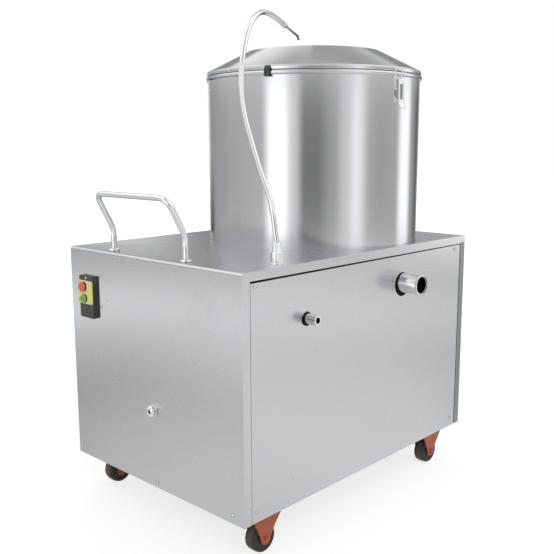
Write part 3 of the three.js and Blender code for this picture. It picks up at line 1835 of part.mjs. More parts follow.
for (const [place, turn] of [
  ["front", 0],
  ["rear", halfTurn],
]) {
  const rimTop = new THREE.Group();
  rimTop.position.set(0, 0, rimHeight);
  rimTop.rotation.z = THREE.MathUtils.degToRad(latchAngle) + turn;
  drum.add(rimTop);
  add(rimTop, `latch_base_${place}`, latchBase(), metal(chromeColor, 0.2));
  add(rimTop, `latch_lever_${place}`, latchLever(), metal(chromeColor, 0.2));
  add(rimTop, `latch_bail_${place}`, latchBail(), metal(chromeColor, 0.2));
  add(rimTop, `latch_keeper_${place}`, latchKeeper(), metal(chromeColor, 0.2));
}
for (const [place, turn] of [
  ["left", 0],
  ["right", halfTurn],
]) {
  const claw = new THREE.Group();
  claw.position.set(0, 0, rimHeight);
  claw.rotation.z = THREE.MathUtils.degToRad(clawAngle) + turn;
  drum.add(claw);
  add(claw, `cone_claw_${place}`, coneClaw(), plain(rubberColor, 0.5));
}

const spout = new THREE.Group();
spout.position.set(spoutX, spoutY, cabinetTop);
group.add(spout);
add(spout, "spout_base", spoutBase(), metal(chromeColor, 0.15));
add(spout, "spout_tube", spoutTube(), metal(chromeColor, 0.12));
add(spout, "spout_nozzle", spoutNozzle(), metal(chromeColor, 0.2));

const motor = new THREE.Group();
motor.position.set(motorX, drumY, 0);
group.add(motor);
add(motor, "motor_body", motorBody(), plain(motorColor, 0.5));
add(motor, "motor_bracket", motorBracket(), plain(frameColor, 0.6));
add(motor, "motor_shaft", motorShaft(), metal(castMetalColor, 0.3));
add(
  motor,
  "motor_pulley",
  pulley(motorPulleyRadius, motorPulleySeatRadius + boreGap, smallPulleySegments, false),
  metal(castMetalColor, 0.5),
);

export default group;
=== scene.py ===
"""Dresses the electric potato peeler: fine meshes, procedural finishes, lamps and the camera.

Sizes are in millimetres of the cabinet's own frame (X from the push-handle end, Y from the
front panel, Z from the floor), and every finished mesh is turned into the row's metres.
"""
import logging
import math
from dataclasses import dataclass
from enum import Enum
from functools import cache
from typing import Any, Iterable, Sequence

import bmesh
import bpy
from mathutils import Matrix, Vector


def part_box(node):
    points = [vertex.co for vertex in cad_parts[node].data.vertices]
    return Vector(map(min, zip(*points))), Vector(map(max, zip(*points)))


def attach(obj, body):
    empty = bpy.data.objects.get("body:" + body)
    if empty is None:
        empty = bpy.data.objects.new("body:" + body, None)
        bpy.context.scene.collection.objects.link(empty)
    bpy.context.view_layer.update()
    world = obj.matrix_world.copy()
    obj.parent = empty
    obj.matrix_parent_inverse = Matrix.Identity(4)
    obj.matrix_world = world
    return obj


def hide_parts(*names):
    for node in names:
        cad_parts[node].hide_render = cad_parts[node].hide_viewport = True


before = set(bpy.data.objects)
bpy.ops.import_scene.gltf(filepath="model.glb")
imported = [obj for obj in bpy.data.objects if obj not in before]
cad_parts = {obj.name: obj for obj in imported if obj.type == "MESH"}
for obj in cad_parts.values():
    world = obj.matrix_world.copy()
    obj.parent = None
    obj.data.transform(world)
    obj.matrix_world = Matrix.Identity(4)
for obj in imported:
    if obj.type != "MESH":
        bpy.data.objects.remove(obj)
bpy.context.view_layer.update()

log = logging.getLogger("peeler")

MM = 0.001
CABINET_ORIGIN = Vector((345.225, 228.0, 0.0))
TO_ROW = Matrix.Scale(MM, 4) @ Matrix.Translation(-CABINET_ORIGIN)
FULL_TURN = 2 * math.pi

Point2 = tuple[float, float]
Point3 = tuple[float, float, float]
Colour = Point3
Curve = tuple[Point2, ...]
Material = bpy.types.Material
Node = bpy.types.Node
Object = bpy.types.Object
Socket = bpy.types.NodeSocket
Inputs = dict[str | int, Any]


# Sizes that several sub-assemblies share


@dataclass(frozen=True)
class Machine:
    """The main places of the machine that more than one sub-assembly follows."""

    cabinet_length: float = 700.0
    cabinet_depth: float = 500.0
    cabinet_bottom: float = 79.0
    cabinet_top: float = 519.0
    drum_x: float = 447.0
    drum_y: float = 235.0
    drum_radius: float = 225.0
    drum_inner: float = 223.5
    drum_bottom: float = 416.3
    rim_height: float = 860.0
    waste_x: float = 457.0
    waste_height: float = 443.0
    fit_gap: float = 0.3
    cut_overrun: float = 20.0


@dataclass(frozen=True)
class Seat:
    """One point where a small part sits, and the way that the part faces."""

    at: Point3
    facing: Point3


MACHINE = Machine()
FRONT: Point3 = (0.0, -1.0, 0.0)
REAR: Point3 = (0.0, 1.0, 0.0)
HANDLE_END: Point3 = (-1.0, 0.0, 0.0)
DRUM_END: Point3 = (1.0, 0.0, 0.0)
DOWN: Point3 = (0.0, 0.0, -1.0)
FRONT_RIGHT: Point3 = (1.0, 0.0, 0.0)
HANDLE_END_RIGHT: Point3 = (0.0, -1.0, 0.0)

UNMIRRORED = ("spout_", "push_bar", "latch_", "bail_", "lever_", "switch_", "stop_", "start_")
"""The small pieces that the brushed steel round them is too dull to mirror."""


# Outlines and places


def polar(radius: float, turn: float, height: float = 0.0) -> Vector:
    """Gives the point at a radius, a turn in radians and a height."""
    return Vector((radius * math.cos(turn), radius * math.sin(turn), height))


def bend(here: Vector, toward: Vector, away: Vector, trim: float, steps: int) -> list[Vector]:
    """Rounds one corner.

    Args:
        here: The corner.
        toward: The way along its one side.
        away: The way along its other side.
        trim: How far along both sides the rounding reaches.
        steps: How many short sides stand for it.

    Returns:
        The points of the rounding.
    """
    start, end = here + toward.normalized() * trim, here + away.normalized() * trim
    return [
        start * (1 - share) ** 2 + here * 2 * share * (1 - share) + end * share**2
        for share in (step / steps for step in range(steps + 1))
    ]


def fillet(
    points: Sequence[Point2], radius: float, steps: int = 4, closed: bool = True
) -> list[Point2]:
    """Rounds the corners of a flat outline.

    Args:
        points: The outline's corners in order.
        radius: The corner radius, cut short where a side is too short for it.
        steps: How many short sides stand for one corner.
        closed: Whether the last corner joins the first.

    Returns:
        The outline with its corners rounded.
    """
    most_of_side = 0.48
    rounded: list[Point2] = []
    for index, corner in enumerate(points):
        if not closed and index in (0, len(points) - 1):
            rounded.append(corner)
            continue
        here = Vector(corner)
        toward = Vector(points[index - 1]) - here
        away = Vector(points[(index + 1) % len(points)]) - here
        trim = radius / math.tan(toward.angle(away) / 2)
        trim = min(trim, toward.length * most_of_side, away.length * most_of_side)
        rounded += [(spot.x, spot.y) for spot in bend(here, toward, away, trim, steps)]
    return rounded


def bent_route(corners: Sequence[Point3], radii: Sequence[float], steps: int = 8) -> list[Vector]:
    """Rounds the corners of a route in space.

    Args:
        corners: The route's corners in order.
        radii: The bend radius of each inner corner; the last one goes on for the rest.
        steps: How many short runs stand for one bend.

    Returns:
        The points of the bent route.
    """
    route = [Vector(corners[0])]
    full = [*radii, *radii[-1:] * len(corners)]
    for before, corner, after, radius in zip(corners, corners[1:], corners[2:], full):
        here = Vector(corner)
        toward, away = Vector(before) - here, Vector(after) - here
        route += bend(here, toward, away, radius / math.tan(toward.angle(away) / 2), steps)
    return [*route, Vector(corners[-1])]


def rectangle(width: float, height: float, centre: Point2 = (0.0, 0.0)) -> list[Point2]:
    """Draws a rectangle, turning left."""
    (x, y), half, rise = centre, width / 2, height / 2
    return [(x - half, y - rise), (x + half, y - rise), (x + half, y + rise), (x - half, y + rise)]


def circle(radius: float, centre: Point2 = (0.0, 0.0), sides: int = 48) -> list[Point2]:
    """Draws a circle as a polygon, turning left."""
    turns = [FULL_TURN * step / sides for step in range(sides)]
    return [(centre[0] + radius * math.cos(t), centre[1] + radius * math.sin(t)) for t in turns]


def arc(centre: Point2, radius: float, start: float, end: float, steps: int = 8) -> list[Point2]:
    """Draws part of a circle in short sides, from one angle in degrees to another."""
    turns = [math.radians(start + (end - start) * step / steps) for step in range(steps + 1)]
    return [(centre[0] + radius * math.cos(t), centre[1] + radius * math.sin(t)) for t in turns]


def eased(curve: Curve, at: float) -> float:
    """Reads a curve of knots, with an ease between each two.

    Args:
        curve: Its knots, in order.
        at: Where it is read.

    Returns:
        Its value there, or that of its nearer end outside it.
    """
    for (low, first), (high, second) in zip(curve, curve[1:]):
        if low <= at <= high:
            share = (at - low) / (high - low)
            return first + (second - first) * share * share * (3 - 2 * share)
    return curve[0][1] if at < curve[0][0] else curve[-1][1]


def sheet_outline(centreline: Sequence[Point2], thickness: float) -> list[Point2]:
    """Gives a bent sheet its thickness.

    Args:
        centreline: The points that the middle of the sheet follows.
        thickness: The sheet's thickness.

    Returns:
        The closed outline round the sheet.
    """
    sharpest = 0.2
    sides: tuple[list[Point2], list[Point2]] = ([], [])
    for index, point in enumerate(centreline):
        here = Vector(point)
        last = index == len(centreline) - 1
        before = (here - Vector(centreline[index - 1])).normalized() if index else None
        after = None if last else (Vector(centreline[index + 1]) - here).normalized()
        along = ((before or after) + (after or before)).normalized()
        across = Vector((-along.y, along.x))
        square = Vector((-(after or before).y, (after or before).x))
        reach = thickness / 2 / max(across.dot(square), sharpest)
        for side, sign in zip(sides, (1, -1)):
            side.append(tuple(here + across * reach * sign))
    return sides[0] + sides[1][::-1]


def placed(x: float, y: float, z: float) -> Matrix:
    """Gives the place of a piece that stands upright."""
    return Matrix.Translation((x, y, z))


def aimed(at: Point3 | Vector, direction: Point3 | Vector) -> Matrix:
    """Gives the place of a turned piece whose own Z axis points along a direction."""
    turn = Vector((0, 0, 1)).rotation_difference(Vector(direction).normalized())
    return Matrix.Translation(Vector(at)) @ turn.to_matrix().to_4x4()


def on_face(at: Point3, right: Point3, up: Point3 = (0.0, 0.0, 1.0)) -> Matrix:
    """Gives the place of a flat piece, with its own X and Y axes pointing right and up."""
    x, y = Vector(right), Vector(up)
    return Matrix.Translation(at) @ Matrix((x, y, x.cross(y))).transposed().to_4x4()


def round_drum(angle: float, height: float = MACHINE.rim_height) -> Matrix:
    """Gives a place at the drum's axis, with its own X axis pointing out at an angle."""
    turn = Matrix.Rotation(math.radians(angle), 4, "Z")
    return placed(MACHINE.drum_x, MACHINE.drum_y, height) @ turn


def drum_seat(angle: float, radius: float, height: float) -> Seat:
    """Gives a seat round the drum's axis, facing out at an angle in degrees."""
    axis, out = Vector((MACHINE.drum_x, MACHINE.drum_y, height)), polar(1.0, math.radians(angle))
    return Seat(tuple(axis + out * radius), tuple(out))


DRUM_AXIS = round_drum(0.0, 0.0)


# Meshes


class Sketch:
    """A mesh under way, in millimetres of the cabinet's frame."""

    def __init__(self) -> None:
        """Starts with nothing drawn."""
        self.mesh = bmesh.new()

    def turned(self, profile: Sequence[Point2], place: Matrix, segments: int = 96) -> "Sketch":
        """Turns a profile about the place's Z axis.

        Args:
            profile: Points of radius and height. It is closed into a ring, unless both of its
                ends lie on the axis.
            place: Where the axis is.
            segments: How many flat sides one turn has.

        Returns:
            This sketch.
        """
        rings = [
            [
                self.mesh.verts.new(place @ polar(radius, FULL_TURN * step / segments, height))
                for step in range(segments if radius > 0.0 else 1)
            ]
            for radius, height in profile
        ]
        pairs = list(zip(rings, rings[1:]))
        if len(rings[0]) > 1:
            pairs.append((rings[-1], rings[0]))
        for low, high in pairs:
            for step in range(segments):
                after = (step + 1) % segments
                corners = [low[step % len(low)], low[after % len(low)]]
                corners += [high[after % len(high)], high[step % len(high)]]
                distinct = list(dict.fromkeys(corners))
                if len(distinct) > 2:
                    self.mesh.faces.new(distinct)
        return self

    def slab(
        self, outline: Sequence[Point2], low: float, high: float, place: Matrix,
        holes: Sequence[Sequence[Point2]] = (),
    ) -> "Sketch":
        """Gives a flat outline its thickness along the place's Z axis.

        Args:
            outline: The outer corners in order.
            low: Where the slab starts.
            high: Where the slab ends.
            place: Where the outline lies.
            holes: Outlines of the holes through it.

        Returns:
            This sketch.
        """
        edges = []
        for loop in (outline, *holes):
            verts = [self.mesh.verts.new(Vector((x, y, low))) for x, y in loop]
            edges += [self.mesh.edges.new((a, b)) for a, b in zip(verts, verts[1:] + verts[:1])]
        filled = bmesh.ops.triangle_fill(self.mesh, edges=edges, use_beauty=True)["geom"]
        faces = [item for item in filled if isinstance(item, bmesh.types.BMFace)]
        grown = bmesh.ops.extrude_face_region(self.mesh, geom=faces, use_keep_orig=True)["geom"]
        tops = [item for item in grown if isinstance(item, bmesh.types.BMVert)]
        bmesh.ops.translate(self.mesh, verts=tops, vec=(0, 0, high - low))
        bases = {vert for face in faces for vert in face.verts}
        bmesh.ops.transform(self.mesh, verts=list(bases | set(tops)), matrix=place)
        return self

    def skin(self, rings: Sequence[Sequence[Vector]], closed: bool = False) -> "Sketch":
        """Joins rings of points into one skin.

        Args:
            rings: Rings with the same number of points each.
            closed: Whether the last ring joins the first. If not, each gets a flat end.

        Returns:
            This sketch.
        """
        made = [[self.mesh.verts.new(point) for point in ring] for ring in rings]
        for low, high in zip(made, made[1:] + (made[:1] if closed else [])):
            for a, b in zip(range(len(low)), [*range(1, len(low)), 0]):
                self.mesh.faces.new((low[a], low[b], high[b], high[a]))
        if not closed:
            self.mesh.faces.new(made[0][::-1])
            self.mesh.faces.new(made[-1])
        return self

    def as_mesh(self, name: str, matrix: Matrix = TO_ROW) -> bpy.types.Mesh:
        """Ends the sketch.

        Args:
            name: The mesh's name.
            matrix: What turns the sketch's millimetres into the mesh's own units.

        Returns:
            The mesh, with its faces outward.
        """
        bmesh.ops.transform(self.mesh, verts=self.mesh.verts, matrix=matrix)
        bmesh.ops.remove_doubles(self.mesh, verts=self.mesh.verts, dist=1e-6)
        bmesh.ops.recalc_face_normals(self.mesh, faces=self.mesh.faces)
        return drafted(self.mesh, name)


def drafted(draft: bmesh.types.BMesh, name: str) -> bpy.types.Mesh:
    """Turns a bmesh into a mesh and frees it.

    Args:
        draft: The bmesh.
        name: The mesh's name.

    Returns:
        The mesh.
    """
    mesh = bpy.data.meshes.new(name)
    draft.to_mesh(mesh)
    draft.free()
    return mesh


def linked(name: str, data: bpy.types.ID | None) -> Object:
    """Makes an object and puts it in the scene.

    Args:
        name: The object's name.
        data: Its mesh, light or camera.

    Returns:
        The object.
    """
    obj = bpy.data.objects.new(name, data)
    bpy.context.scene.collection.objects.link(obj)
    return obj


def settled(obj: Object) -> Object:
    """Turns an object's modifiers into plain mesh.

    Args:
        obj: The object, with its modifiers set.

    Returns:
        The same object with a plain mesh and no modifier.
    """
    evaluated = obj.evaluated_get(bpy.context.evaluated_depsgraph_get())
    mesh = bpy.data.meshes.new_from_object(evaluated)
    mesh.name = obj.name
    obj.modifiers.clear()
    obj.data = mesh
    return obj


def smoothed(obj: Object, angle: float) -> None:
    """Shades a mesh smoothly, apart from edges sharper than an angle in degrees."""
    obj.data.polygons.foreach_set("use_smooth", [True] * len(obj.data.polygons))
    obj.data.set_sharp_from_angle(angle=math.radians(angle))


def softened(obj: Object, width: float, segments: int = 2, angle: float = 40.0) -> None:
    """Rounds a mesh object's sharp edges and makes the result plain.

    Args:
        obj: The mesh object.
        width: The bevel's width in millimetres.
        segments: How many faces the bevel has.
        angle: The angle in degrees from which an edge is rounded.
    """
    smoothed(obj, angle)
    bevel = obj.modifiers.new("softened", "BEVEL")
    bevel.width = width * MM
    bevel.segments = segments
    bevel.limit_method = "ANGLE"
    bevel.angle_limit = math.radians(angle)
    bevel.harden_normals = True
    bevel.use_clamp_overlap = True
    settled(obj)


def cut_away(obj: Object, cutter: Sketch) -> None:
    """Cuts a sketched shape out of a mesh object.

    Args:
        obj: The mesh object that is cut.
        cutter: The shape that is taken away.
    """
    tool = linked("cutter", cutter.as_mesh("cutter"))
    cut = obj.modifiers.new("cut", "BOOLEAN")
    cut.operation = "DIFFERENCE"
    cut.solver = "EXACT"
    cut.object = tool
    settled(obj)
    bpy.data.objects.remove(tool)


# Nodes


def pick(sockets: Iterable[Socket], name: str) -> Socket:
    """Finds the socket that is in use under a name."""
    return next(socket for socket in sockets if socket.name == name and socket.enabled)


class Tree:
    """Short hand for adding nodes and links to one node tree."""

    def __init__(self, tree: bpy.types.NodeTree) -> None:
        """Keeps the tree that is drawn in."""
        self.tree = tree

    def fill(self, node: Node, values: Inputs) -> Node:
        """Sets a node's inputs.

        Args:
            node: The node.
            values: What each input gets, by name or number: a constant or a socket.

        Returns:
            The same node.
        """
        for key, value in values.items():
            socket = node.inputs[key] if isinstance(key, int) else pick(node.inputs, key)
            if isinstance(value, Socket):
                self.tree.links.new(value, socket)
            else:
                socket.default_value = value
        return node

    def node(self, kind: str, values: Inputs | None = None, **settings: Any) -> Node:
        """Adds a node.

        Args:
            kind: The node's Blender type.
            values: What its inputs get.
            **settings: The node's own settings.

        Returns:
            The node.
        """
        node = self.tree.nodes.new(kind)
        for key, value in settings.items():
            setattr(node, key, value)
        return self.fill(node, values or {})

    def math(self, operation: str, *operands: Any) -> Socket:
        """Adds a Math node and gives its result."""
        operated = self.node("ShaderNodeMath", dict(enumerate(operands)), operation=operation)
        return operated.outputs[0]

    def times(self, first: Any, second: Any) -> Socket:
        """Multiplies two numbers or sockets."""
        return self.math("MULTIPLY", first, second)

    def mapped(self, value: Socket, source: Sequence[Any], target: Point2 = (0.0, 1.0)) -> Socket:
        """Maps a number from one range to another and holds it inside the second."""
        values = dict(zip(("From Min", "From Max", "To Min", "To Max"), (*source, *target)))
        return self.node("ShaderNodeMapRange", {"Value": value, **values}, clamp=True).outputs[0]

    def blended(self, share: Any, first: Any, second: Any) -> Socket:
        """Mixes two colours.

        Args:
            share: How much of the second colour there is.
            first: The first colour, as a constant or a socket.
            second: The second one.

        Returns:
            The mixed colour.
        """
        pair = [part if isinstance(part, Socket) else (*part, 1.0) for part in (first, second)]
        values = {"Factor": share, "A": pair[0], "B": pair[1]}
        return pick(self.node("ShaderNodeMix", values, data_type="RGBA").outputs, "Result")

    def noise(self, vector: Socket, scale: Any, detail: Any = 2.0, **more: float) -> Socket:
        """Adds a Noise Texture and gives its factor."""
        values = {"Vector": vector, "Scale": scale, "Detail": detail, **more}
        return self.node("ShaderNodeTexNoise", values).outputs["Fac"]

    def place(self, stretch: Sequence[float] = (1.0, 1.0, 1.0)) -> Socket:
        """Reads the object's own coordinates, stretched."""
        spot = self.node("ShaderNodeTexCoord").outputs["Object"]
        return self.node("ShaderNodeMapping", {"Vector": spot, "Scale": stretch}).outputs[0]

    def bump(self, height: Socket, depth: float, strength: float) -> Socket:
        """Turns a height, of a depth in millimetres, into a bumped normal."""
        values = {"Height": height, "Distance": depth * MM, "Strength": strength}
        return self.node("ShaderNodeBump", values).outputs[0]

    def group(self, name: str, vector: Socket, **values: Any) -> bpy.types.NodeOutputs:
        """Places a shared shader group and gives its outputs."""
        values["Vector"] = vector
        return self.node("ShaderNodeGroup", values, node_tree=bpy.data.node_groups[name]).outputs

    def attribute(self, name: str, kind: str) -> Socket:
        """Reads a named attribute in a Geometry Nodes tree."""
        node = self.node("GeometryNodeInputNamedAttribute", {"Name": name}, data_type=kind)
        return pick(node.outputs, "Attribute")


def cleared(owner: Material | bpy.types.World) -> Tree:
    """Empties the node tree of a material or a world.

    Args:
        owner: The material or the world.

    Returns:
        Its tree.
    """
    owner.use_nodes = True
    owner.node_tree.nodes.clear()
    return Tree(owner.node_tree)


def group_tree(
    name: str, kind: str, inputs: dict[str, Any], outputs: Sequence[str]
) -> tuple[Tree, Any, Node]:
    """Starts a node group with named sockets.

    Args:
        name: The group's name.
        kind: Its kind: Shader or Geometry.
        inputs: What each input starts at, or its socket type where it starts with nothing.
        outputs: The name of each output.

    Returns:
        The group's tree, the outputs of its input node, and its output node.
    """
    types = {float: "Float", int: "Int", tuple: "Vector"}
    tree = bpy.data.node_groups.new(name, f"{kind}NodeTree")
    for title, start in inputs.items():
        empty = isinstance(start, str)
        socket = f"NodeSocket{start if empty else types[type(start)]}"
        item = tree.interface.new_socket(name=title, in_out="INPUT", socket_type=socket)
        if not empty:
            item.default_value = start
    result = "NodeSocketGeometry" if kind == "Geometry" else "NodeSocketFloat"
    for title in outputs:
        tree.interface.new_socket(name=title, in_out="OUTPUT", socket_type=result)
    desk = Tree(tree)
    return desk, desk.node("NodeGroupInput").outputs, desk.node("NodeGroupOutput")


def run_tree(obj: Object, tree: bpy.types.NodeTree, values: dict[str, Any]) -> Object:
    """Runs a Geometry Nodes tree on an object and keeps the plain mesh.

    Args:
        obj: The mesh object that the tree starts from.
        tree: The tree.
        values: What its named inputs get.

    Returns:
        The same object with the tree's mesh.
    """
    modifier = obj.modifiers.new(tree.name, "NODES")
    modifier.node_group = tree
    identifiers = {
        item.name: item.identifier
        for item in tree.interface.items_tree
        if item.item_type == "SOCKET" and item.in_out == "INPUT"
    }
    for name, value in values.items():
        modifier[identifiers[name]] = value
    return settled(obj)


# Shader groups that several finishes share


def brush_grain_group() -> None:
    """Builds the fine lines and slow streaks of brushed metal."""
    desk, given, target = group_tree(
        "brush_grain", "Shader", {"Vector": "Vector", "Detail": 3.0}, ["Lines", "Streaks"]
    )
    fine = desk.noise(given["Vector"], 1.0, given["Detail"], Roughness=0.7)
    broad = desk.noise(given["Vector"], 0.06)
    spread = (0.3, 0.7)
    desk.fill(target, {"Lines": desk.mapped(fine, spread), "Streaks": desk.mapped(broad, spread)})


def handling_marks_group() -> None:
    """Builds the soft patches that hands, water and cloths leave."""
    inputs = {"Vector": "Vector", "Scale": 6.0, "Cover": 0.5}
    desk, given, target = group_tree("handling_marks", "Shader", inputs, ["Mask"])
    patches = desk.noise(given["Vector"], given["Scale"], 5.0, Roughness=0.62, Distortion=0.4)
    start = desk.math("SUBTRACT", 0.75, desk.times(given["Cover"], 0.5))
    ends = (start, desk.math("ADD", start, 0.22))
    desk.fill(target, {"Mask": desk.mapped(patches, ends)})


def edge_wear_group() -> None:
    """Builds the wear on outer edges, broken up by noise."""
    inputs = {"Vector": "Vector", "Scale": 90.0, "Amount": 0.5}
    desk, given, target = group_tree("edge_wear", "Shader", inputs, ["Mask"])
    sharpness = desk.node("ShaderNodeNewGeometry").outputs["Pointiness"]
    edge = desk.mapped(sharpness, (0.51, 0.6))
    broken = desk.mapped(desk.noise(given["Vector"], given["Scale"], 4.0), (0.42, 0.58))
    desk.fill(target, {"Mask": desk.times(desk.times(edge, broken), given["Amount"])})


def grit_group() -> None:
    """Builds bonded grains, from moulded texture to coarse abrasive."""
    inputs = {"Vector": "Vector", "Scale": 600.0}
    desk, given, target = group_tree("bonded_grit", "Shader", inputs, ["Height", "Speckle"])
    spot = {"Vector": given["Vector"], "Scale": given["Scale"]}
    cells = desk.node("ShaderNodeTexVoronoi", spot, feature="F1").outputs
    mound = desk.mapped(cells["Distance"], (0.0, 0.7), (1.0, 0.0))
    noise = desk.noise(given["Vector"], given["Scale"], 3.0)
    height = desk.math("ADD", mound, desk.times(noise, 0.5))
    shade = desk.node("ShaderNodeSeparateColor", {"Color": cells["Color"]}).outputs[0]
    desk.fill(target, {"Height": height, "Speckle": shade})


# Finishes


class GrainRun(Enum):
    """Which way the brushing runs, as the stretch of the grain along X, Y and Z."""

    LEVEL = (6.0, 6.0, 1.0)
    UPRIGHT = (1.0, 1.0, 6.0)
    TURNED = (2.0, 2.0, 2.0)


@dataclass(frozen=True)
class Finish:
    """One finish: a plain name, the record's slot, and its base colour and roughness."""

    name: str
    slot: str
    colour: Colour
    roughness: float

    def shade(self, share: float) -> Colour:
        """Gives the base colour made lighter or darker by a share."""
        return tuple(min(1.0, part * share) for part in self.colour)

    def look(self, desk: Tree) -> Inputs:
        """Gives what the inputs of the Principled shader get, from nodes in its tree."""
        raise NotImplementedError

    @cache
    def as_material(self) -> Material:
        """Gives the finish's material.

        Returns:
            The material, built the first time that it is asked for.
        """
        material = bpy.data.materials.new(self.name)
        desk = cleared(material)
        shader = desk.node("ShaderNodeBsdfPrincipled")
        desk.node("ShaderNodeOutputMaterial", {"Surface": shader.outputs[0]})
        desk.fill(shader, self.look(desk))
        return material


@dataclass(frozen=True)
class BrushedMetal(Finish):
    """Sheet or bar metal with a brushed grain and faint handling marks."""

    run: GrainRun = GrainRun.LEVEL
    lines_per_mm: float = 2.2
    line_length: float = 48.0
    depth: float = 0.02
    relief: float = 0.1
    contrast: float = 0.035
    marks: float = 0.35
    stretch: float = 0.0

    def look(self, desk: Tree) -> Inputs:
        """Wires brushed lines, slow streaks and marks.

        Args:
            desk: The material's tree.

        Returns:
            What the shader's inputs get.
        """
        grain = desk.group("brush_grain", self._grain_place(desk))
        mark = desk.group("handling_marks", desk.place(), Cover=self.marks)["Mask"]
        lines, light = grain["Lines"], self.shade(1 + self.contrast)
        toned = desk.blended(lines, self.shade(1 - self.contrast), light)
        streaked = desk.blended(desk.times(grain["Streaks"], 0.3), toned, light)
        rough = desk.math("MULTIPLY_ADD", lines, 0.03, self.roughness - 0.01)
        values: Inputs = {
            "Base Color": desk.blended(desk.times(mark, 0.12), streaked, self.shade(0.86)),
            "Metallic": 1.0,
            "Roughness": desk.math("ADD", rough, desk.times(mark, 0.07)),
            "Normal": desk.bump(lines, self.depth, self.relief),
        }
        if self.stretch:
            values["Anisotropic"] = self.stretch
            values["Tangent"] = desk.node("ShaderNodeCombineXYZ", {"Z": 1.0}).outputs[0]
        return values

    def _grain_place(self, desk: Tree) -> Socket:
        """Stretches the coordinates along the brushing, which runs along X on level faces.

        Args:
            desk: The material's tree.

        Returns:
            The stretched coordinates.
        """
        across = self.lines_per_mm / MM
        along = across / self.line_length
        level_from = 0.8
        upright = desk.place(tuple(along if part > 1 else across for part in self.run.value))
        if self.run is not GrainRun.LEVEL:
            return upright
        normal = desk.node("ShaderNodeNewGeometry").outputs["Normal"]
        facing = desk.node("ShaderNodeSeparateXYZ", {"Vector": normal}).outputs["Z"]
        share = desk.math("GREATER_THAN", desk.math("ABSOLUTE", facing), level_from)
        pair = {"Factor": share, "A": upright, "B": desk.place((along, across, across))}
        return pick(desk.node("ShaderNodeMix", pair, data_type="VECTOR").outputs, "Result")


@dataclass(frozen=True)
class BrightMetal(Finish):
    """Chrome or zinc plating: clean and bright, with faint marks and a trace of wear."""

    marks: float = 0.4

    def look(self, desk: Tree) -> Inputs:
        """Wires faint marks, wear and a fine ripple.

        Args:
            desk: The material's tree.

        Returns:
            What the shader's inputs get.
        """
        spot = desk.place()
        mark = desk.group("handling_marks", spot, Scale=40.0, Cover=self.marks)["Mask"]
        wear = desk.group("edge_wear", spot, Amount=0.3)["Mask"]
        marked = desk.blended(desk.times(mark, 0.2), self.colour, self.shade(0.8))
        return {
            "Base Color": desk.blended(wear, marked, self.shade(1.1)),
            "Metallic": 1.0,
            "Roughness": desk.math("MULTIPLY_ADD", mark, 0.1, self.roughness),
            "Normal": desk.bump(desk.noise(spot, 220.0), 0.02, 0.15),
        }


@dataclass(frozen=True)
class Paint(Finish):
    """Paint or enamel on metal, worn bright on its edges, with patches of dust."""

    worn: Colour = (0.42, 0.4, 0.38)
    dust_colour: Colour = (0.45, 0.42, 0.39)
    wear: float = 0.6
    peel: float = 0.03
    dust: float = 0.25

    def look(self, desk: Tree) -> Inputs:
        """Wires paint texture, wear and dust.

        Args:
            desk: The material's tree.

        Returns:
            What the shader's inputs get.
        """
        spot = desk.place()
        wear = desk.group("edge_wear", spot, Scale=160.0, Amount=self.wear)["Mask"]
        dust = desk.group("handling_marks", spot, Scale=22.0, Cover=0.55)["Mask"]
        toned = desk.blended(desk.noise(spot, 30.0, 4.0), self.shade(0.82), self.shade(1.18))
        dusty = desk.blended(desk.times(dust, self.dust), toned, self.dust_colour)
        return {
            "Base Color": desk.blended(wear, dusty, self.worn),
            "Metallic": desk.times(wear, 0.6),
            "Roughness": desk.math("MULTIPLY_ADD", dust, 0.25, self.roughness),
            "Normal": desk.bump(desk.noise(spot, 900.0), self.peel, 0.35),
        }


@dataclass(frozen=True)
class Moulded(Finish):
    """Moulded plastic or rubber with a fine skin texture, rubbed edges and a little dust."""

    grain: float = 1400.0
    depth: float = 0.02
    dust: float = 0.1
    dust_colour: Colour = (0.5, 0.48, 0.45)
    sheen: float = 0.5

    def look(self, desk: Tree) -> Inputs:
        """Wires the moulded skin, dust and rubbed edges.

        Args:
            desk: The material's tree.

        Returns:
            What the shader's inputs get.
        """
        spot = desk.place()
        skin = desk.group("bonded_grit", spot, Scale=self.grain)
        wear = desk.group("edge_wear", spot, Scale=120.0, Amount=0.35)["Mask"]
        dust = desk.group("handling_marks", spot, Scale=35.0, Cover=0.5)["Mask"]
        toned = desk.blended(skin["Speckle"], self.shade(0.9), self.shade(1.1))
        dusty = desk.blended(desk.times(dust, self.dust), toned, self.dust_colour)
        return {
            "Base Color": desk.blended(wear, dusty, self.shade(1.5)),
            "Roughness": desk.math("MULTIPLY_ADD", dust, 0.18, self.roughness),
            "Specular IOR Level": self.sheen,
            "Normal": desk.bump(skin["Height"], self.depth, 0.3),
        }


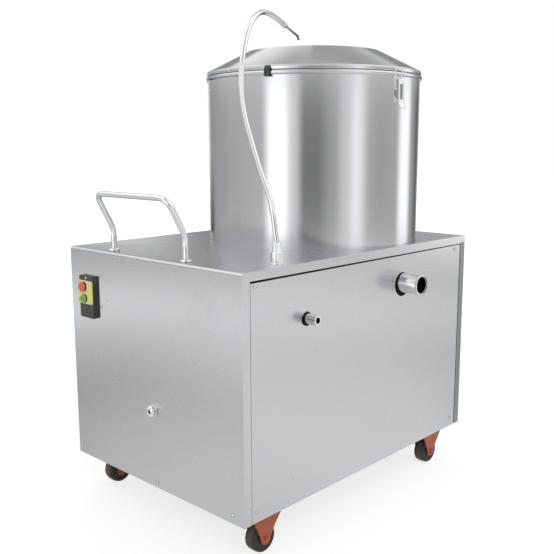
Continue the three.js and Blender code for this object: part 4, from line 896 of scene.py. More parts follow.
@dataclass(frozen=True)
class Abrasive(Finish):
    """Coarse silicon carbide grit bonded in resin, with bright facets."""

    grains: float = 420.0
    fineness: float = 2.7
    stain: Colour = (0.24, 0.19, 0.13)
    facet: Colour = (0.6, 0.6, 0.62)

    def look(self, desk: Tree) -> Inputs:
        """Wires two sizes of grain.

        Args:
            desk: The material's tree.

        Returns:
            What the shader's inputs get.
        """
        spot = desk.place()
        coarse = desk.group("bonded_grit", spot, Scale=self.grains)
        fine = desk.group("bonded_grit", spot, Scale=self.grains * self.fineness)
        stain = desk.group("handling_marks", spot, Scale=9.0, Cover=0.6)["Mask"]
        toned = desk.blended(coarse["Speckle"], self.shade(0.55), self.shade(1.5))
        stained = desk.blended(desk.times(stain, 0.35), toned, self.stain)
        facets = desk.mapped(fine["Speckle"], (0.8, 1.0))
        height = desk.math("ADD", coarse["Height"], fine["Height"])
        return {
            "Base Color": desk.blended(desk.times(facets, 0.5), stained, self.facet),
            "Metallic": desk.times(facets, 0.4),
            "Roughness": desk.mapped(facets, (0.0, 1.0), (self.roughness, 0.35)),
            "Normal": desk.bump(height, 0.8, 0.9),
        }


@dataclass(frozen=True)
class CastMetal(Finish):
    """Cast metal with a sandy skin and oily patches."""

    def look(self, desk: Tree) -> Inputs:
        """Wires the sandy skin, the oil and the wear.

        Args:
            desk: The material's tree.

        Returns:
            What the shader's inputs get.
        """
        spot = desk.place()
        sand = desk.group("bonded_grit", spot, Scale=700.0)
        oil = desk.group("handling_marks", spot, Scale=18.0, Cover=0.6)["Mask"]
        wear = desk.group("edge_wear", spot, Amount=0.5)["Mask"]
        toned = desk.blended(sand["Speckle"], self.shade(0.8), self.shade(1.15))
        oiled = desk.blended(desk.times(oil, 0.4), toned, self.shade(0.45))
        return {
            "Base Color": desk.blended(wear, oiled, self.shade(1.6)),
            "Metallic": 0.85,
            "Roughness": desk.mapped(oil, (0.0, 1.0), (self.roughness, 0.3)),
            "Normal": desk.bump(sand["Height"], 0.15, 0.5),
        }


PANEL_STEEL = BrushedMetal(
    "panel_steel", "brushed_steel", (0.6, 0.605, 0.625), 0.26, marks=0.3, relief=0.012,
    contrast=0.01,
)
TRIM_STEEL = BrushedMetal(
    "trim_steel", "brushed_steel", (0.6, 0.605, 0.62), 0.22, run=GrainRun.UPRIGHT
)
DRUM_STEEL = BrushedMetal(
    "drum_steel", "polished_steel", (0.61, 0.615, 0.635), 0.145, contrast=0.02, marks=0.15,
    stretch=0.85,
)
PIPE_STEEL = BrushedMetal(
    "pipe_steel", "polished_steel", (0.64, 0.645, 0.66), 0.16, run=GrainRun.TURNED, contrast=0.03
)
# A darker copy of the steel, used only for sheets of painted shade: the fold strip and the lever
# wells.
SHADE_STEEL = BrushedMetal("dull_steel", "brushed_steel", (0.3, 0.3, 0.31), 0.34)
SHAFT_STEEL = BrushedMetal(
    "shaft_steel", "shaft_steel", (0.5, 0.5, 0.51), 0.25, run=GrainRun.TURNED, contrast=0.08
)
CHROME = BrightMetal("chrome", "chrome", (0.78, 0.785, 0.795), 0.08)
ZINC = BrightMetal("zinc_plate", "chrome", (0.62, 0.62, 0.63), 0.16)
SATIN_ZINC = BrightMetal("satin_zinc", "chrome", (0.8, 0.8, 0.81), 0.45)
BRIGHT_ZINC = BrightMetal("bright_zinc", "chrome", (0.82, 0.82, 0.83), 0.1)
FRAME_PAINT = Paint("frame_paint", "frame_paint", (0.06, 0.063, 0.068), 0.45)
CASTOR_PAINT = Paint(
    "castor_paint", "caster_paint", (0.4, 0.075, 0.025), 0.42, worn=(0.24, 0.12, 0.08), wear=0.5,
    dust=0.05,
)
MOTOR_PAINT = Paint("motor_enamel", "motor_paint", (0.06, 0.12, 0.2), 0.35, peel=0.05)
WHEEL_RUBBER = Moulded(
    "wheel_rubber", "wheel_rubber", (0.022, 0.018, 0.017), 0.6, grain=900.0, dust=0.3,
    dust_colour=(0.11, 0.085, 0.075),
)
TREAD_RUBBER = Moulded(
    "tread_rubber", "wheel_rubber", (0.075, 0.055, 0.05), 0.7, grain=900.0, dust=0.6,
    dust_colour=(0.24, 0.18, 0.16),
)
# Near-black rubber: the real washers and hose sleeve, and also the black strip of painted shade
# over the front panel's gap.
SEAL_RUBBER_AND_SHADE = Moulded(
    "seal_rubber", "black_rubber", (0.006, 0.006, 0.006), 0.8, dust=0.02, sheen=0.08
)
SOFT_RUBBER = Moulded("soft_rubber", "black_rubber", (0.02, 0.02, 0.021), 0.55, grain=1100.0)
BLACK_PLASTIC = Moulded("black_plastic", "black_plastic", (0.022, 0.022, 0.024), 0.34)
YELLOW_PLASTIC = Moulded("yellow_plastic", "yellow_plastic", (0.76, 0.68, 0.2), 0.3)
RED_PLASTIC = Moulded("red_plastic", "red_plastic", (0.62, 0.12, 0.07), 0.3)
GREEN_PLASTIC = Moulded("green_plastic", "green_plastic", (0.22, 0.4, 0.09), 0.3)
PALE_PLASTIC = Moulded("pale_ring", "yellow_plastic", (0.74, 0.7, 0.55), 0.35, dust=0.06)
GRIT = Abrasive("bonded_grit", "abrasive", (0.15, 0.14, 0.135), 0.75)
CAST_IRON = CastMetal("cast_iron", "cast_iron", (0.22, 0.225, 0.23), 0.5)


# Geometry Nodes trees


def ended(desk: Tree, geometry: Socket, given: Any, target: Node) -> bpy.types.NodeTree:
    """Ends a tree in Realize Instances and Set Material.

    Args:
        desk: The tree.
        geometry: What the tree has made.
        given: The tree's inputs, with a Material among them.
        target: Its output node.

    Returns:
        The tree.
    """
    real = desk.node("GeometryNodeRealizeInstances", {"Geometry": geometry}).outputs[0]
    values = {"Geometry": real, "Material": given["Material"]}
    desk.fill(target, {"Geometry": desk.node("GeometryNodeSetMaterial", values).outputs[0]})
    return desk.tree


def tube_tree() -> bpy.types.NodeTree:
    """Builds the tree that sweeps a round section along a route.

    Returns:
        The tree.
    """
    inputs = {"Geometry": "Geometry", "Radius": 0.005, "Sides": 24, "Material": "Material"}
    desk, given, target = group_tree("tube_on_route", "Geometry", inputs, ["Geometry"])
    route = desk.node("GeometryNodeMeshToCurve", {"Mesh": given["Geometry"]}).outputs[0]
    sizes = {"Resolution": given["Sides"], "Radius": given["Radius"]}
    section = desk.node("GeometryNodeCurvePrimitiveCircle", sizes).outputs[0]
    swept = {"Curve": route, "Profile Curve": section, "Fill Caps": True}
    tube = desk.node("GeometryNodeCurveToMesh", swept).outputs[0]
    return ended(desk, tube, given, target)


def fastener_tree() -> bpy.types.NodeTree:
    """Builds the tree that puts one small part on each point, turned to its facing.

    Returns:
        The tree.
    """
    inputs = {
        "Geometry": "Geometry", "Part": "Object", "Spin": FULL_TURN, "Seed": 7,
        "Material": "Material",
    }
    desk, given, target = group_tree("parts_on_points", "Geometry", inputs, ["Geometry"])
    part = desk.node("GeometryNodeObjectInfo", {"Object": given["Part"], "As Instance": True})
    facing = {"Vector": desk.attribute("facing", "FLOAT_VECTOR")}
    turn = desk.node("FunctionNodeAlignRotationToVector", facing, axis="Z").outputs[0]
    values = {
        "Points": given["Geometry"], "Instance": pick(part.outputs, "Geometry"), "Rotation": turn
    }
    parts = desk.node("GeometryNodeInstanceOnPoints", values).outputs[0]
    limits = {"Max": given["Spin"], "Seed": given["Seed"]}
    spin = pick(desk.node("FunctionNodeRandomValue", limits, data_type="FLOAT").outputs, "Value")
    about = desk.node("ShaderNodeCombineXYZ", {"Z": spin}).outputs[0]
    turned = {"Instances": parts, "Rotation": about, "Local Space": True}
    spun = desk.node("GeometryNodeRotateInstances", turned).outputs[0]
    return ended(desk, spun, given, target)


def wavy_disc_tree() -> bpy.types.NodeTree:
    """Builds the tree that lifts a flat disc into waves with standing grit.

    Returns:
        The tree.
    """
    inputs = {
        "Geometry": "Geometry", "Centre": (0.0, 0.0, 0.0), "Hub Radius": 0.046, "Radius": 0.212,
        "Fall": 0.007, "Wave": 0.006, "Waves": 3.0, "Grit": 0.0007, "Material": "Material",
    }
    desk, given, target = group_tree("wavy_disc", "Geometry", inputs, ["Geometry"])
    spot = desk.node("GeometryNodeInputPosition").outputs[0]
    ends = {0: spot, 1: given["Centre"]}
    local = desk.node("ShaderNodeVectorMath", ends, operation="SUBTRACT").outputs[0]
    x, y, _ = desk.node("ShaderNodeSeparateXYZ", {"Vector": local}).outputs
    reach = desk.math("SQRT", desk.math("ADD", desk.times(x, x), desk.times(y, y)))
    span = desk.math("SUBTRACT", given["Radius"], given["Hub Radius"])
    share = desk.math("DIVIDE", desk.math("SUBTRACT", reach, given["Hub Radius"]), span)
    rise = desk.math("SINE", desk.times(desk.mapped(share, (0.0, 1.0)), math.pi / 2))
    crest = desk.math("COSINE", desk.times(desk.math("ARCTAN2", y, x), given["Waves"]))
    lift = desk.math("SUBTRACT", desk.times(crest, given["Wave"]), given["Fall"])
    grains = desk.math("SUBTRACT", desk.noise(spot, 260.0), 0.5)
    height = desk.math("ADD", desk.times(lift, rise), desk.times(grains, given["Grit"]))
    offset = desk.node("ShaderNodeCombineXYZ", {"Z": height}).outputs[0]
    top = desk.attribute("top", "BOOLEAN")
    values = {"Geometry": given["Geometry"], "Selection": top, "Offset": offset}
    moved = desk.node("GeometryNodeSetPosition", values).outputs[0]
    return ended(desk, moved, given, target)


# The workshop that turns sketches and CAD nodes into finished pieces


class Workshop:
    """Makes pieces from sketches, routes and CAD nodes, dresses them and puts them on bodies."""

    def __init__(self) -> None:
        """Builds the shader groups and the trees."""
        for build in (brush_grain_group, handling_marks_group, edge_wear_group, grit_group):
            build()
        self.tube, self.fasteners, self.wavy_disc = tube_tree(), fastener_tree(), wavy_disc_tree()
        self.made = 0

    def deliver(self, obj: Object, finish: Finish, body: str, nodes: Sequence[str] = ()) -> Object:
        """Dresses a finished mesh, parents it to its body and hides the CAD nodes that it stands
        for.

        Args:
            obj: The mesh object.
            finish: Its finish.
            body: The CAD body that it moves with.
            nodes: The CAD nodes that it stands for.

        Returns:
            The same object.
        """
        obj.data.materials.clear()
        obj.data.materials.append(finish.as_material())
        obj.visible_glossy = not obj.name.startswith(UNMIRRORED)
        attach(obj, body)
        if nodes:
            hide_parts(*nodes)
        self.made += 1
        log.info("%s: %d faces, %s, on %s", obj.name, len(obj.data.polygons), finish.name, body)
        return obj

    def sketched(
        self, name: str, sketch: Sketch, finish: Finish, body: str = "frame",
        nodes: Sequence[str] = (), bevel: float = 0.0, angle: float = 35.0,
        cuts: Sequence[Sketch] = (),
    ) -> Object:
        """Makes a piece from a sketch.

        Args:
            name: The piece's name.
            sketch: Its mesh in millimetres.
            finish: Its finish.
            body: The CAD body that it moves with.
            nodes: The CAD nodes that it stands for.
            bevel: The width in millimetres of the rounding on its sharp edges.
            angle: The angle in degrees from which an edge counts as sharp.
            cuts: Shapes that are taken out of it.

        Returns:
            The piece.
        """
        obj = linked(name, sketch.as_mesh(name))
        for cutter in cuts:
            cut_away(obj, cutter)
        if bevel > 0:
            softened(obj, bevel, angle=angle)
        else:
            smoothed(obj, angle)
        return self.deliver(obj, finish, body, nodes)

    def routed(
        self, name: str, route: Sequence[Vector], radius: float, finish: Finish,
        body: str = "frame", nodes: Sequence[str] = (), sides: int = 24,
        place: Matrix = Matrix(),
    ) -> Object:
        """Makes a round rod or tube along a route.

        Args:
            name: The piece's name.
            route: The points that its middle follows.
            radius: Its outer radius.
            finish: Its finish.
            body: The CAD body that it moves with.
            nodes: The CAD nodes that it stands for.
            sides: How many sides its section has.
            place: Where the route's own origin is.

        Returns:
            The piece.
        """
        mesh = bpy.data.meshes.new(name)
        points = [TO_ROW @ (place @ Vector(point)) for point in route]
        mesh.from_pydata(points, [(index, index + 1) for index in range(len(points) - 1)], [])
        obj = linked(name, mesh)
        values = {"Radius": radius * MM, "Sides": sides, "Material": finish.as_material()}
        smoothed(run_tree(obj, self.tube, values), 50.0)
        return self.deliver(obj, finish, body, nodes)

    def fastened(
        self, name: str, part: Sketch, seats: Sequence[Seat], finish: Finish,
        body: str = "frame", spin: float = FULL_TURN, seed: int = 7, angle: float = 35.0,
    ) -> Object:
        """Puts one small part on each seat, as one piece.

        Args:
            name: The piece's name.
            part: The small part, drawn about its own origin.
            seats: Where it sits.
            finish: Its finish.
            body: The CAD body that it moves with.
            spin: How far each copy may be turned about its own axis.
            seed: The seed of those turns.
            angle: The angle in degrees from which an edge stays sharp.

        Returns:
            The piece.
        """
        pattern = linked("pattern", part.as_mesh("pattern", Matrix.Scale(MM, 4)))
        mesh = bpy.data.meshes.new(name)
        mesh.from_pydata([TO_ROW @ Vector(seat.at) for seat in seats], [], [])
        facing = mesh.attributes.new("facing", "FLOAT_VECTOR", "POINT")
        facing.data.foreach_set("vector", [part for seat in seats for part in seat.facing])
        values = {"Part": pattern, "Spin": spin, "Seed": seed, "Material": finish.as_material()}
        obj = run_tree(linked(name, mesh), self.fasteners, values)
        bpy.data.objects.remove(pattern)
        smoothed(obj, angle)
        return self.deliver(obj, finish, body)

    def refined(
        self, node: str, finish: Finish, body: str = "frame", bevel: float = 0.4,
        segments: int = 2, angle: float = 40.0, cuts: Sequence[Sketch] = (),
    ) -> Object:
        """Makes a piece from a merged copy of a CAD node, with its edges rounded.

        Args:
            node: The CAD node that is copied and stood for.
            finish: The piece's finish.
            body: The CAD body that it moves with.
            bevel: The width in millimetres of the rounding.
            segments: How many faces the rounding has.
            angle: The angle in degrees from which an edge is rounded.
            cuts: Shapes that are taken out of it first.

        Returns:
            The piece.
        """
        weld, flat_within = 2e-6, math.radians(0.6)
        draft = bmesh.new()
        draft.from_mesh(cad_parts[node].data)
        bmesh.ops.remove_doubles(draft, verts=draft.verts, dist=weld)
        bmesh.ops.dissolve_limit(
            draft, angle_limit=flat_within, verts=draft.verts, edges=draft.edges
        )
        obj = linked(f"{node}_fine", drafted(draft, f"{node}_fine"))
        for cutter in cuts:
            cut_away(obj, cutter)
        softened(obj, bevel, segments, angle)
        return self.deliver(obj, finish, body, [node])

    def dressed(self, nodes: Sequence[str], finish: Finish) -> None:
        """Gives CAD nodes that stay as they are their finish.

        Args:
            nodes: The CAD nodes.
            finish: Their finish.
        """
        for node in nodes:
            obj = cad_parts[node]
            if not obj.material_slots:
                obj.data.materials.append(None)
            for slot in obj.material_slots:
                slot.link = "OBJECT"
                slot.material = finish.as_material()
            self.made += 1
            log.info("%s: CAD node, %s", node, finish.name)


# Small parts


def pan_head(radius: float = 4.6, height: float = 2.4) -> Sketch:
    """Draws a pan-head screw with a cross recess.

    Args:
        radius: The head's radius.
        height: Its height.

    Returns:
        The head about its own origin, facing +Z.
    """
    curve = radius * 1.6
    dome = [(0.0, height), *arc((0.0, height - curve), curve, 84, 62, 4)]
    sketch = Sketch()
    sketch.turned([*dome, (radius, height * 0.35), (radius, -0.4), (0.0, -0.4)], Matrix(), 20)
    bar = rectangle(radius * 1.1, radius * 0.26)
    for turn in (0.0, math.pi / 2):
        sketch.slab(bar, height - 0.25, height + 0.12, Matrix.Rotation(turn, 4, "Z"))
    return sketch


def hex_head(across: float = 10.0, height: float = 4.0) -> Sketch:
    """Draws a hexagon bolt head on its washer.

    Args:
        across: The size across the flats.
        height: The head's height.

    Returns:
        The head about its own origin, facing +Z.
    """
    rim = across * 0.78
    washer = [(0.0, 1.0), (across * 0.72, 1.0), (rim, 0.7), (rim, -0.3), (0.0, -0.3)]
    low = height - 0.2
    crown = [(0.0, height + 0.5), (across * 0.4, height + 0.4), (across * 0.48, low), (0.0, low)]
    sketch = Sketch().turned(washer, Matrix(), 24)
    sketch.slab(circle(across / math.sqrt(3), sides=6), 0.9, height, Matrix())
    return sketch.turned(crown, Matrix(), 24)


def domed_rivet(radius: float = 3.2, height: float = 1.4) -> Sketch:
    """Draws a domed rivet head.

    Args:
        radius: Its radius.
        height: Its height.

    Returns:
        The head about its own origin, facing +Z.
    """
    turns = [math.pi / 2 * step / 5 for step in range(6)]
    dome = [(radius * math.sin(turn), height * math.cos(turn)) for turn in turns]
    return Sketch().turned([*dome, (radius, -0.3), (0.0, -0.3)], Matrix(), 18)


# Sub-assemblies


@dataclass
class Cabinet:
    """The folded stainless cabinet with its panels, frame, screws and louvres."""

    workshop: Workshop
    front_screws: Curve = ((31.7, 493.1), (32.6, 98.9), (663.6, 99.9), (657.7, 491.6))
    rear_screws: Curve = ((36.0, 492.0), (36.0, 99.0), (664.0, 99.0), (664.0, 492.0))
    handle_end_screws: Curve = ((480.9, 92.4), (237.4, 88.2), (30.7, 93.0))
    drum_end_screws: Curve = ((470.0, 93.0), (262.0, 89.0), (30.0, 93.0))
    panel_inset: float = 1.0
    front_opening: Curve = ((18.0, 79.0), (682.0, 501.0))
    strip_edge: float = 2.6
    louvre_columns: tuple[float, ...] = (142.0, 272.0)
    louvre_rows: int = 5
    louvre_pitch: float = 15.0
    louvre_middle: float = 299.0
    louvre_length: float = 90.0
    louvre_stand: float = 3.2
    louvre_sheet: float = 0.9

    def build(self) -> None:
        """Builds the cabinet."""
        shop = self.workshop
        shop.refined("cabinet_shell", PANEL_STEEL, bevel=0.45, angle=44.0)
        shop.refined("front_panel", PANEL_STEEL)
        shop.refined("rear_panel", PANEL_STEEL)
        shop.refined("base_frame", FRAME_PAINT, bevel=0.5)
        shop.fastened("panel_screws", pan_head(), self._seats(), ZINC, seed=11)
        rear = MACHINE.cabinet_depth - self.panel_inset
        steps = range(-(self.louvre_rows // 2), self.louvre_rows // 2 + 1)
        hoods = [
            Seat((x, rear, self.louvre_middle + step * self.louvre_pitch), REAR)
            for x in self.louvre_columns
            for step in steps
        ]
        shop.fastened("louvre_hoods", self._hood(), hoods, PANEL_STEEL, spin=0.0)
        self._edging()

    def _edging(self) -> None:
        """Lays strips of painted shade: a black one over the gap above the front panel and a dark
        one down the drum end's fold.
        """
        wall = on_face((0.0, 0.0, 0.0), FRONT_RIGHT)
        (left, low), (right, high) = self.front_opening
        # The seam sheet is painted shade: a thin black strip laid over the gap above the front
        # panel.
        seam = [(left, high - 1.0), (right, high - 0.6), (right, high + 0.6), (left, high + 2.4)]
        near, far = right + 0.4, MACHINE.cabinet_length - self.strip_edge
        # The fold strip is painted shade: a dark steel sheet laid down the front flange by the drum
        # end's fold.
        strip = [(near, low + 1.5), (far, low + 1.5), (far, high + 3.0), (near, high + 3.0)]
        self.workshop.sketched("panel_seam", Sketch().slab(seam, -0.1, 0.15, wall), SEAL_RUBBER_AND_SHADE)
        self.workshop.sketched("fold_strip", Sketch().slab(strip, 0.0, 0.3, wall), SHADE_STEEL)

    def _seats(self) -> list[Seat]:
        """Sets out the screws of all four sides.

        Returns:
            Where each screw sits.
        """
        front, rear = self.panel_inset, MACHINE.cabinet_depth - self.panel_inset
        seats = [Seat((x, front, z), FRONT) for x, z in self.front_screws]
        seats += [Seat((x, rear, z), REAR) for x, z in self.rear_screws]
        seats += [Seat((0.0, y, z), HANDLE_END) for y, z in self.handle_end_screws]
        end = MACHINE.cabinet_length
        return seats + [Seat((end, y, z), DRUM_END) for y, z in self.drum_end_screws]

    def _hood(self) -> Sketch:
        """Draws one louvre hood, pressed out of the sheet over its slot.

        Returns:
            The hood about its slot's middle, facing +Z with its roof toward -Y.
        """
        half, outside, inside, shift = self.louvre_length / 2, 4.5, 3.7, 0.5
        rings = []
        stations = (-half, 3 - half, 8 - half, half - 8, half - 3, half)
        for x, rise in zip(stations, (0.15, 0.7, 1.0, 1.0, 0.7, 0.15)):
            stand = self.louvre_stand * rise
            low = max(stand - self.louvre_sheet, 0.05)
            outer = [(outside * y - shift, stand * z) for y, z in arc((0, 0), 1.0, 180, 60, 4)]
            inner = [(inside * y - shift, low * z) for y, z in arc((0, 0), 1.0, 60, 180, 4)]
            rings.append([Vector((x, y, z)) for y, z in (*outer, *inner)])
        return Sketch().skin(rings)


@dataclass
class PushHandle:
    """The bent push bar on two foot collars."""

    workshop: Workshop
    rod_radius: float = 5.5
    bend_radius: float = 26.0
    knee_radius: float = 62.0
    inset: float = 19.0
    lean: float = 38.0
    front_y: float = 160.0
    rear_y: float = 374.0
    knee: float = 563.0
    bar: float = 632.0
    collar_radius: float = 11.0
    collar_height: float = 5.0

    def build(self) -> None:
        """Builds the bar and its collars."""
        foot = MACHINE.cabinet_top + MACHINE.fit_gap
        out, front, rear = self.inset - self.lean, self.front_y, self.rear_y
        corners = [
            (self.inset, front, foot), (self.inset, front, self.knee), (out, front, self.bar),
            (out, rear, self.bar), (self.inset, rear, self.knee), (self.inset, rear, foot),
        ]
        radii = (self.knee_radius, self.bend_radius, self.bend_radius, self.knee_radius)
        route = bent_route(corners, radii, 12)
        self.workshop.routed(
            "push_bar", route, self.rod_radius, CHROME, nodes=["push_handle"], sides=36
        )
        rod, rim, top = self.rod_radius - 0.5, self.collar_radius, self.collar_height
        section = [(rod, 0), (rim, 0), (rim, top * 0.7), (rim * 0.72, top), (rod, top)]
        profile = fillet(section, 1.0, 3)
        for name, y in (("front", front), ("rear", rear)):
            collar = Sketch().turned(profile, placed(self.inset, y, foot), 48)
            self.workshop.sketched(f"bar_collar_{name}", collar, CHROME)


@dataclass
class SwitchBox:
    """The black switch box with its yellow plate and its two push buttons."""

    workshop: Workshop
    middle: float = 424.0
    depth: float = 16.0
    plate_depth: float = 20.3
    stop_height: float = 447.5
    start_height: float = 423.5
    screw_height: float = 463.6
    plug_place: Point2 = (421.0, 402.0)
    plate_screws: tuple[Point2, Point2] = ((404.5, 443.5), (417.0, 455.0))
    stem_radius: float = 4.0
    stop_ring: Curve = (
        (9.9, -0.2), (12.4, -0.2), (12.4, 0.5), (11.6, 1.1), (10.5, 1.1), (9.9, 0.6)
    )
    plug: Curve = ((0.0, 0.5), (2.6, 0.4), (3.0, -0.1), (3.0, -0.4), (0.0, -0.4))

    def build(self) -> None:
        """Builds the box, its plate, its buttons and its small fittings."""
        shop = self.workshop
        shop.refined("switch_housing", BLACK_PLASTIC, bevel=1.2, segments=3)
        shop.refined("switch_plate", YELLOW_PLASTIC, bevel=0.8, segments=3)
        self._button("stop_mushroom", "stop_button", 9.5, 8.0, self.stop_height, RED_PLASTIC)
        self._button("start_push", "start_button", 8.0, 3.5, self.start_height, GREEN_PLASTIC)
        ring = Sketch().turned(self.stop_ring, self._face(self.stop_height), 64)
        shop.sketched("stop_ring", ring, PALE_PLASTIC)
        face = -self.depth - MACHINE.fit_gap
        screw = [Seat((face, self.middle, self.screw_height), HANDLE_END)]
        shop.fastened("cover_screw", pan_head(2.6, 1.2), screw, ZINC, seed=3)
        low = on_face((face, *self.plug_place), HANDLE_END_RIGHT)
        shop.sketched("cover_plug", Sketch().turned(self.plug, low, 32), SOFT_RUBBER)
        ys, zs = self.plate_screws
        corners = [Seat((-self.plate_depth, y, z), HANDLE_END) for y in ys for z in zs]
        shop.fastened("plate_screws", pan_head(1.7, 0.8), corners, ZINC, seed=5)

    def _face(self, height: float) -> Matrix:
        """Gives the place on the plate's face at a height."""
        return on_face((-self.plate_depth, self.middle, height), HANDLE_END_RIGHT)

    def _button(
        self, name: str, node: str, radius: float, proud: float, height: float, finish: Finish
    ) -> None:
        """Builds one push button with a dished, round-edged cap.

        Args:
            name: The piece's name.
            node: The CAD node and the body that it stands for.
            radius: The cap's radius.
            proud: How far the cap stands off the plate.
            height: The height of its axis.
            finish: Its finish.
        """
        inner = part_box(node)[1][0] / MM + CABINET_ORIGIN.x + self.plate_depth
        rim = [(radius * 0.55, proud - 0.5), (radius - 0.6, proud), (radius, proud - 1.8)]
        cap = fillet([*rim, (radius, inner / 2)], 1.2, closed=False)
        dish = [(0.0, proud - 0.9), (radius * 0.3, proud - 0.8)]
        stem = [(self.stem_radius, inner / 2), (self.stem_radius, inner), (0.0, inner)]
        sketch = Sketch().turned([*dish, *cap, *stem], self._face(height), 64)
        self.workshop.sketched(name, sketch, finish, node, [node])


@dataclass
class Pipes:
    """The waste pipe, the inlet stub with its elbow, the feed hose and the cable gland."""

    workshop: Workshop
    waste_mouth: float = -44.0
    waste_sleeve: Curve = ((20.1, 2.7), (27.0, 2.7), (27.0, 4.2), (20.1, 4.2))
    inlet_x: float = 160.0
    inlet_height: float = 418.4
    inlet_radius: float = 9.75
    washer_slab: Point2 = (-0.9, 0.7)
    gland_place: Point3 = (0.0, 240.0, 232.0)
    gland_profile: Curve = (
        (4.0, -6.8), (7.0, -6.8), (7.0, 0.3), (10.0, 0.3), (10.0, 5.2), (9.2, 5.3), (9.2, 5.8),
        (10.6, 5.9), (10.9, 6.5), (10.9, 8.2), (10.0, 10.6), (8.0, 12.0), (5.0, 12.2), (4.0, 11.2),
    )
    gland_ribs: int = 12

    def build(self) -> None:
        """Builds the pipes, the hose and the gland."""
        shop, x, height = self.workshop, MACHINE.waste_x, MACHINE.waste_height
        shop.refined("waste_pipe", PIPE_STEEL, bevel=0.6, angle=50.0)
        shop.refined("inlet_pipe", PIPE_STEEL, bevel=0.5, angle=50.0)
        shop.refined("feed_hose", SOFT_RUBBER, bevel=0.3, angle=60.0)
        lip = [(16.2, 0.6), *arc((18.6, 1.2), 2.6, 200, -90, 12), (17.0, 6.5), (16.2, 6.0)]
        mouth = aimed((x, self.waste_mouth, height), REAR)
        shop.sketched("waste_pipe_lip", Sketch().turned(lip, mouth, 72), PIPE_STEEL, angle=60.0)
        sleeve = Sketch().turned(self.waste_sleeve, aimed((x, 0.0, height), REAR), 64)
        shop.sketched("waste_pipe_sleeve", sleeve, SEAL_RUBBER_AND_SHADE)
        wide, narrow = circle(23.8, (-1.0, -2.4), 64), circle(20.3, sides=64)
        self._washer("waste_pipe_washer", (x, 0.0, height), wide, narrow)
        wide = circle(self.inlet_radius + 2.2, (-0.8, -1.0))
        spot = (self.inlet_x, 0.0, self.inlet_height)
        self._washer("inlet_pipe_washer", spot, wide, circle(self.inlet_radius + 0.3))
        self._gland()

    def _washer(self, name: str, spot: Point3, wide: list[Point2], hole: list[Point2]) -> None:
        """Builds the rubber washer round one pipe.

        Args:
            name: The piece's name.
            spot: Where the pipe leaves the front panel.
            wide: The washer's outline.
            hole: The hole through it.
        """
        body = Sketch().slab(wide, *self.washer_slab, on_face(spot, FRONT_RIGHT), [hole])
        self.workshop.sketched(name, body, SEAL_RUBBER_AND_SHADE)

    def _gland(self) -> None:
        """Builds the cable gland's hexagon body and its domed clamping nut."""
        place = aimed(self.gland_place, HANDLE_END)
        body = Sketch().turned(self.gland_profile, place, 48)
        body.slab(circle(13.2, sides=6), 0.3, 5.3, place, [circle(8.6, sides=24)])
        body.slab(circle(11.0, sides=6), -6.6, -1.8, place, [circle(6.8, sides=24)])
        for step in range(self.gland_ribs):
            turn = place @ Matrix.Rotation(FULL_TURN * step / self.gland_ribs, 4, "Z")
            body.slab(circle(0.55, sides=6), 6.3, 8.4, turn @ placed(10.6, 0.0, 0.0))
        self.workshop.sketched("gland_body", body, BRIGHT_ZINC, nodes=["cable_gland"], bevel=0.25)


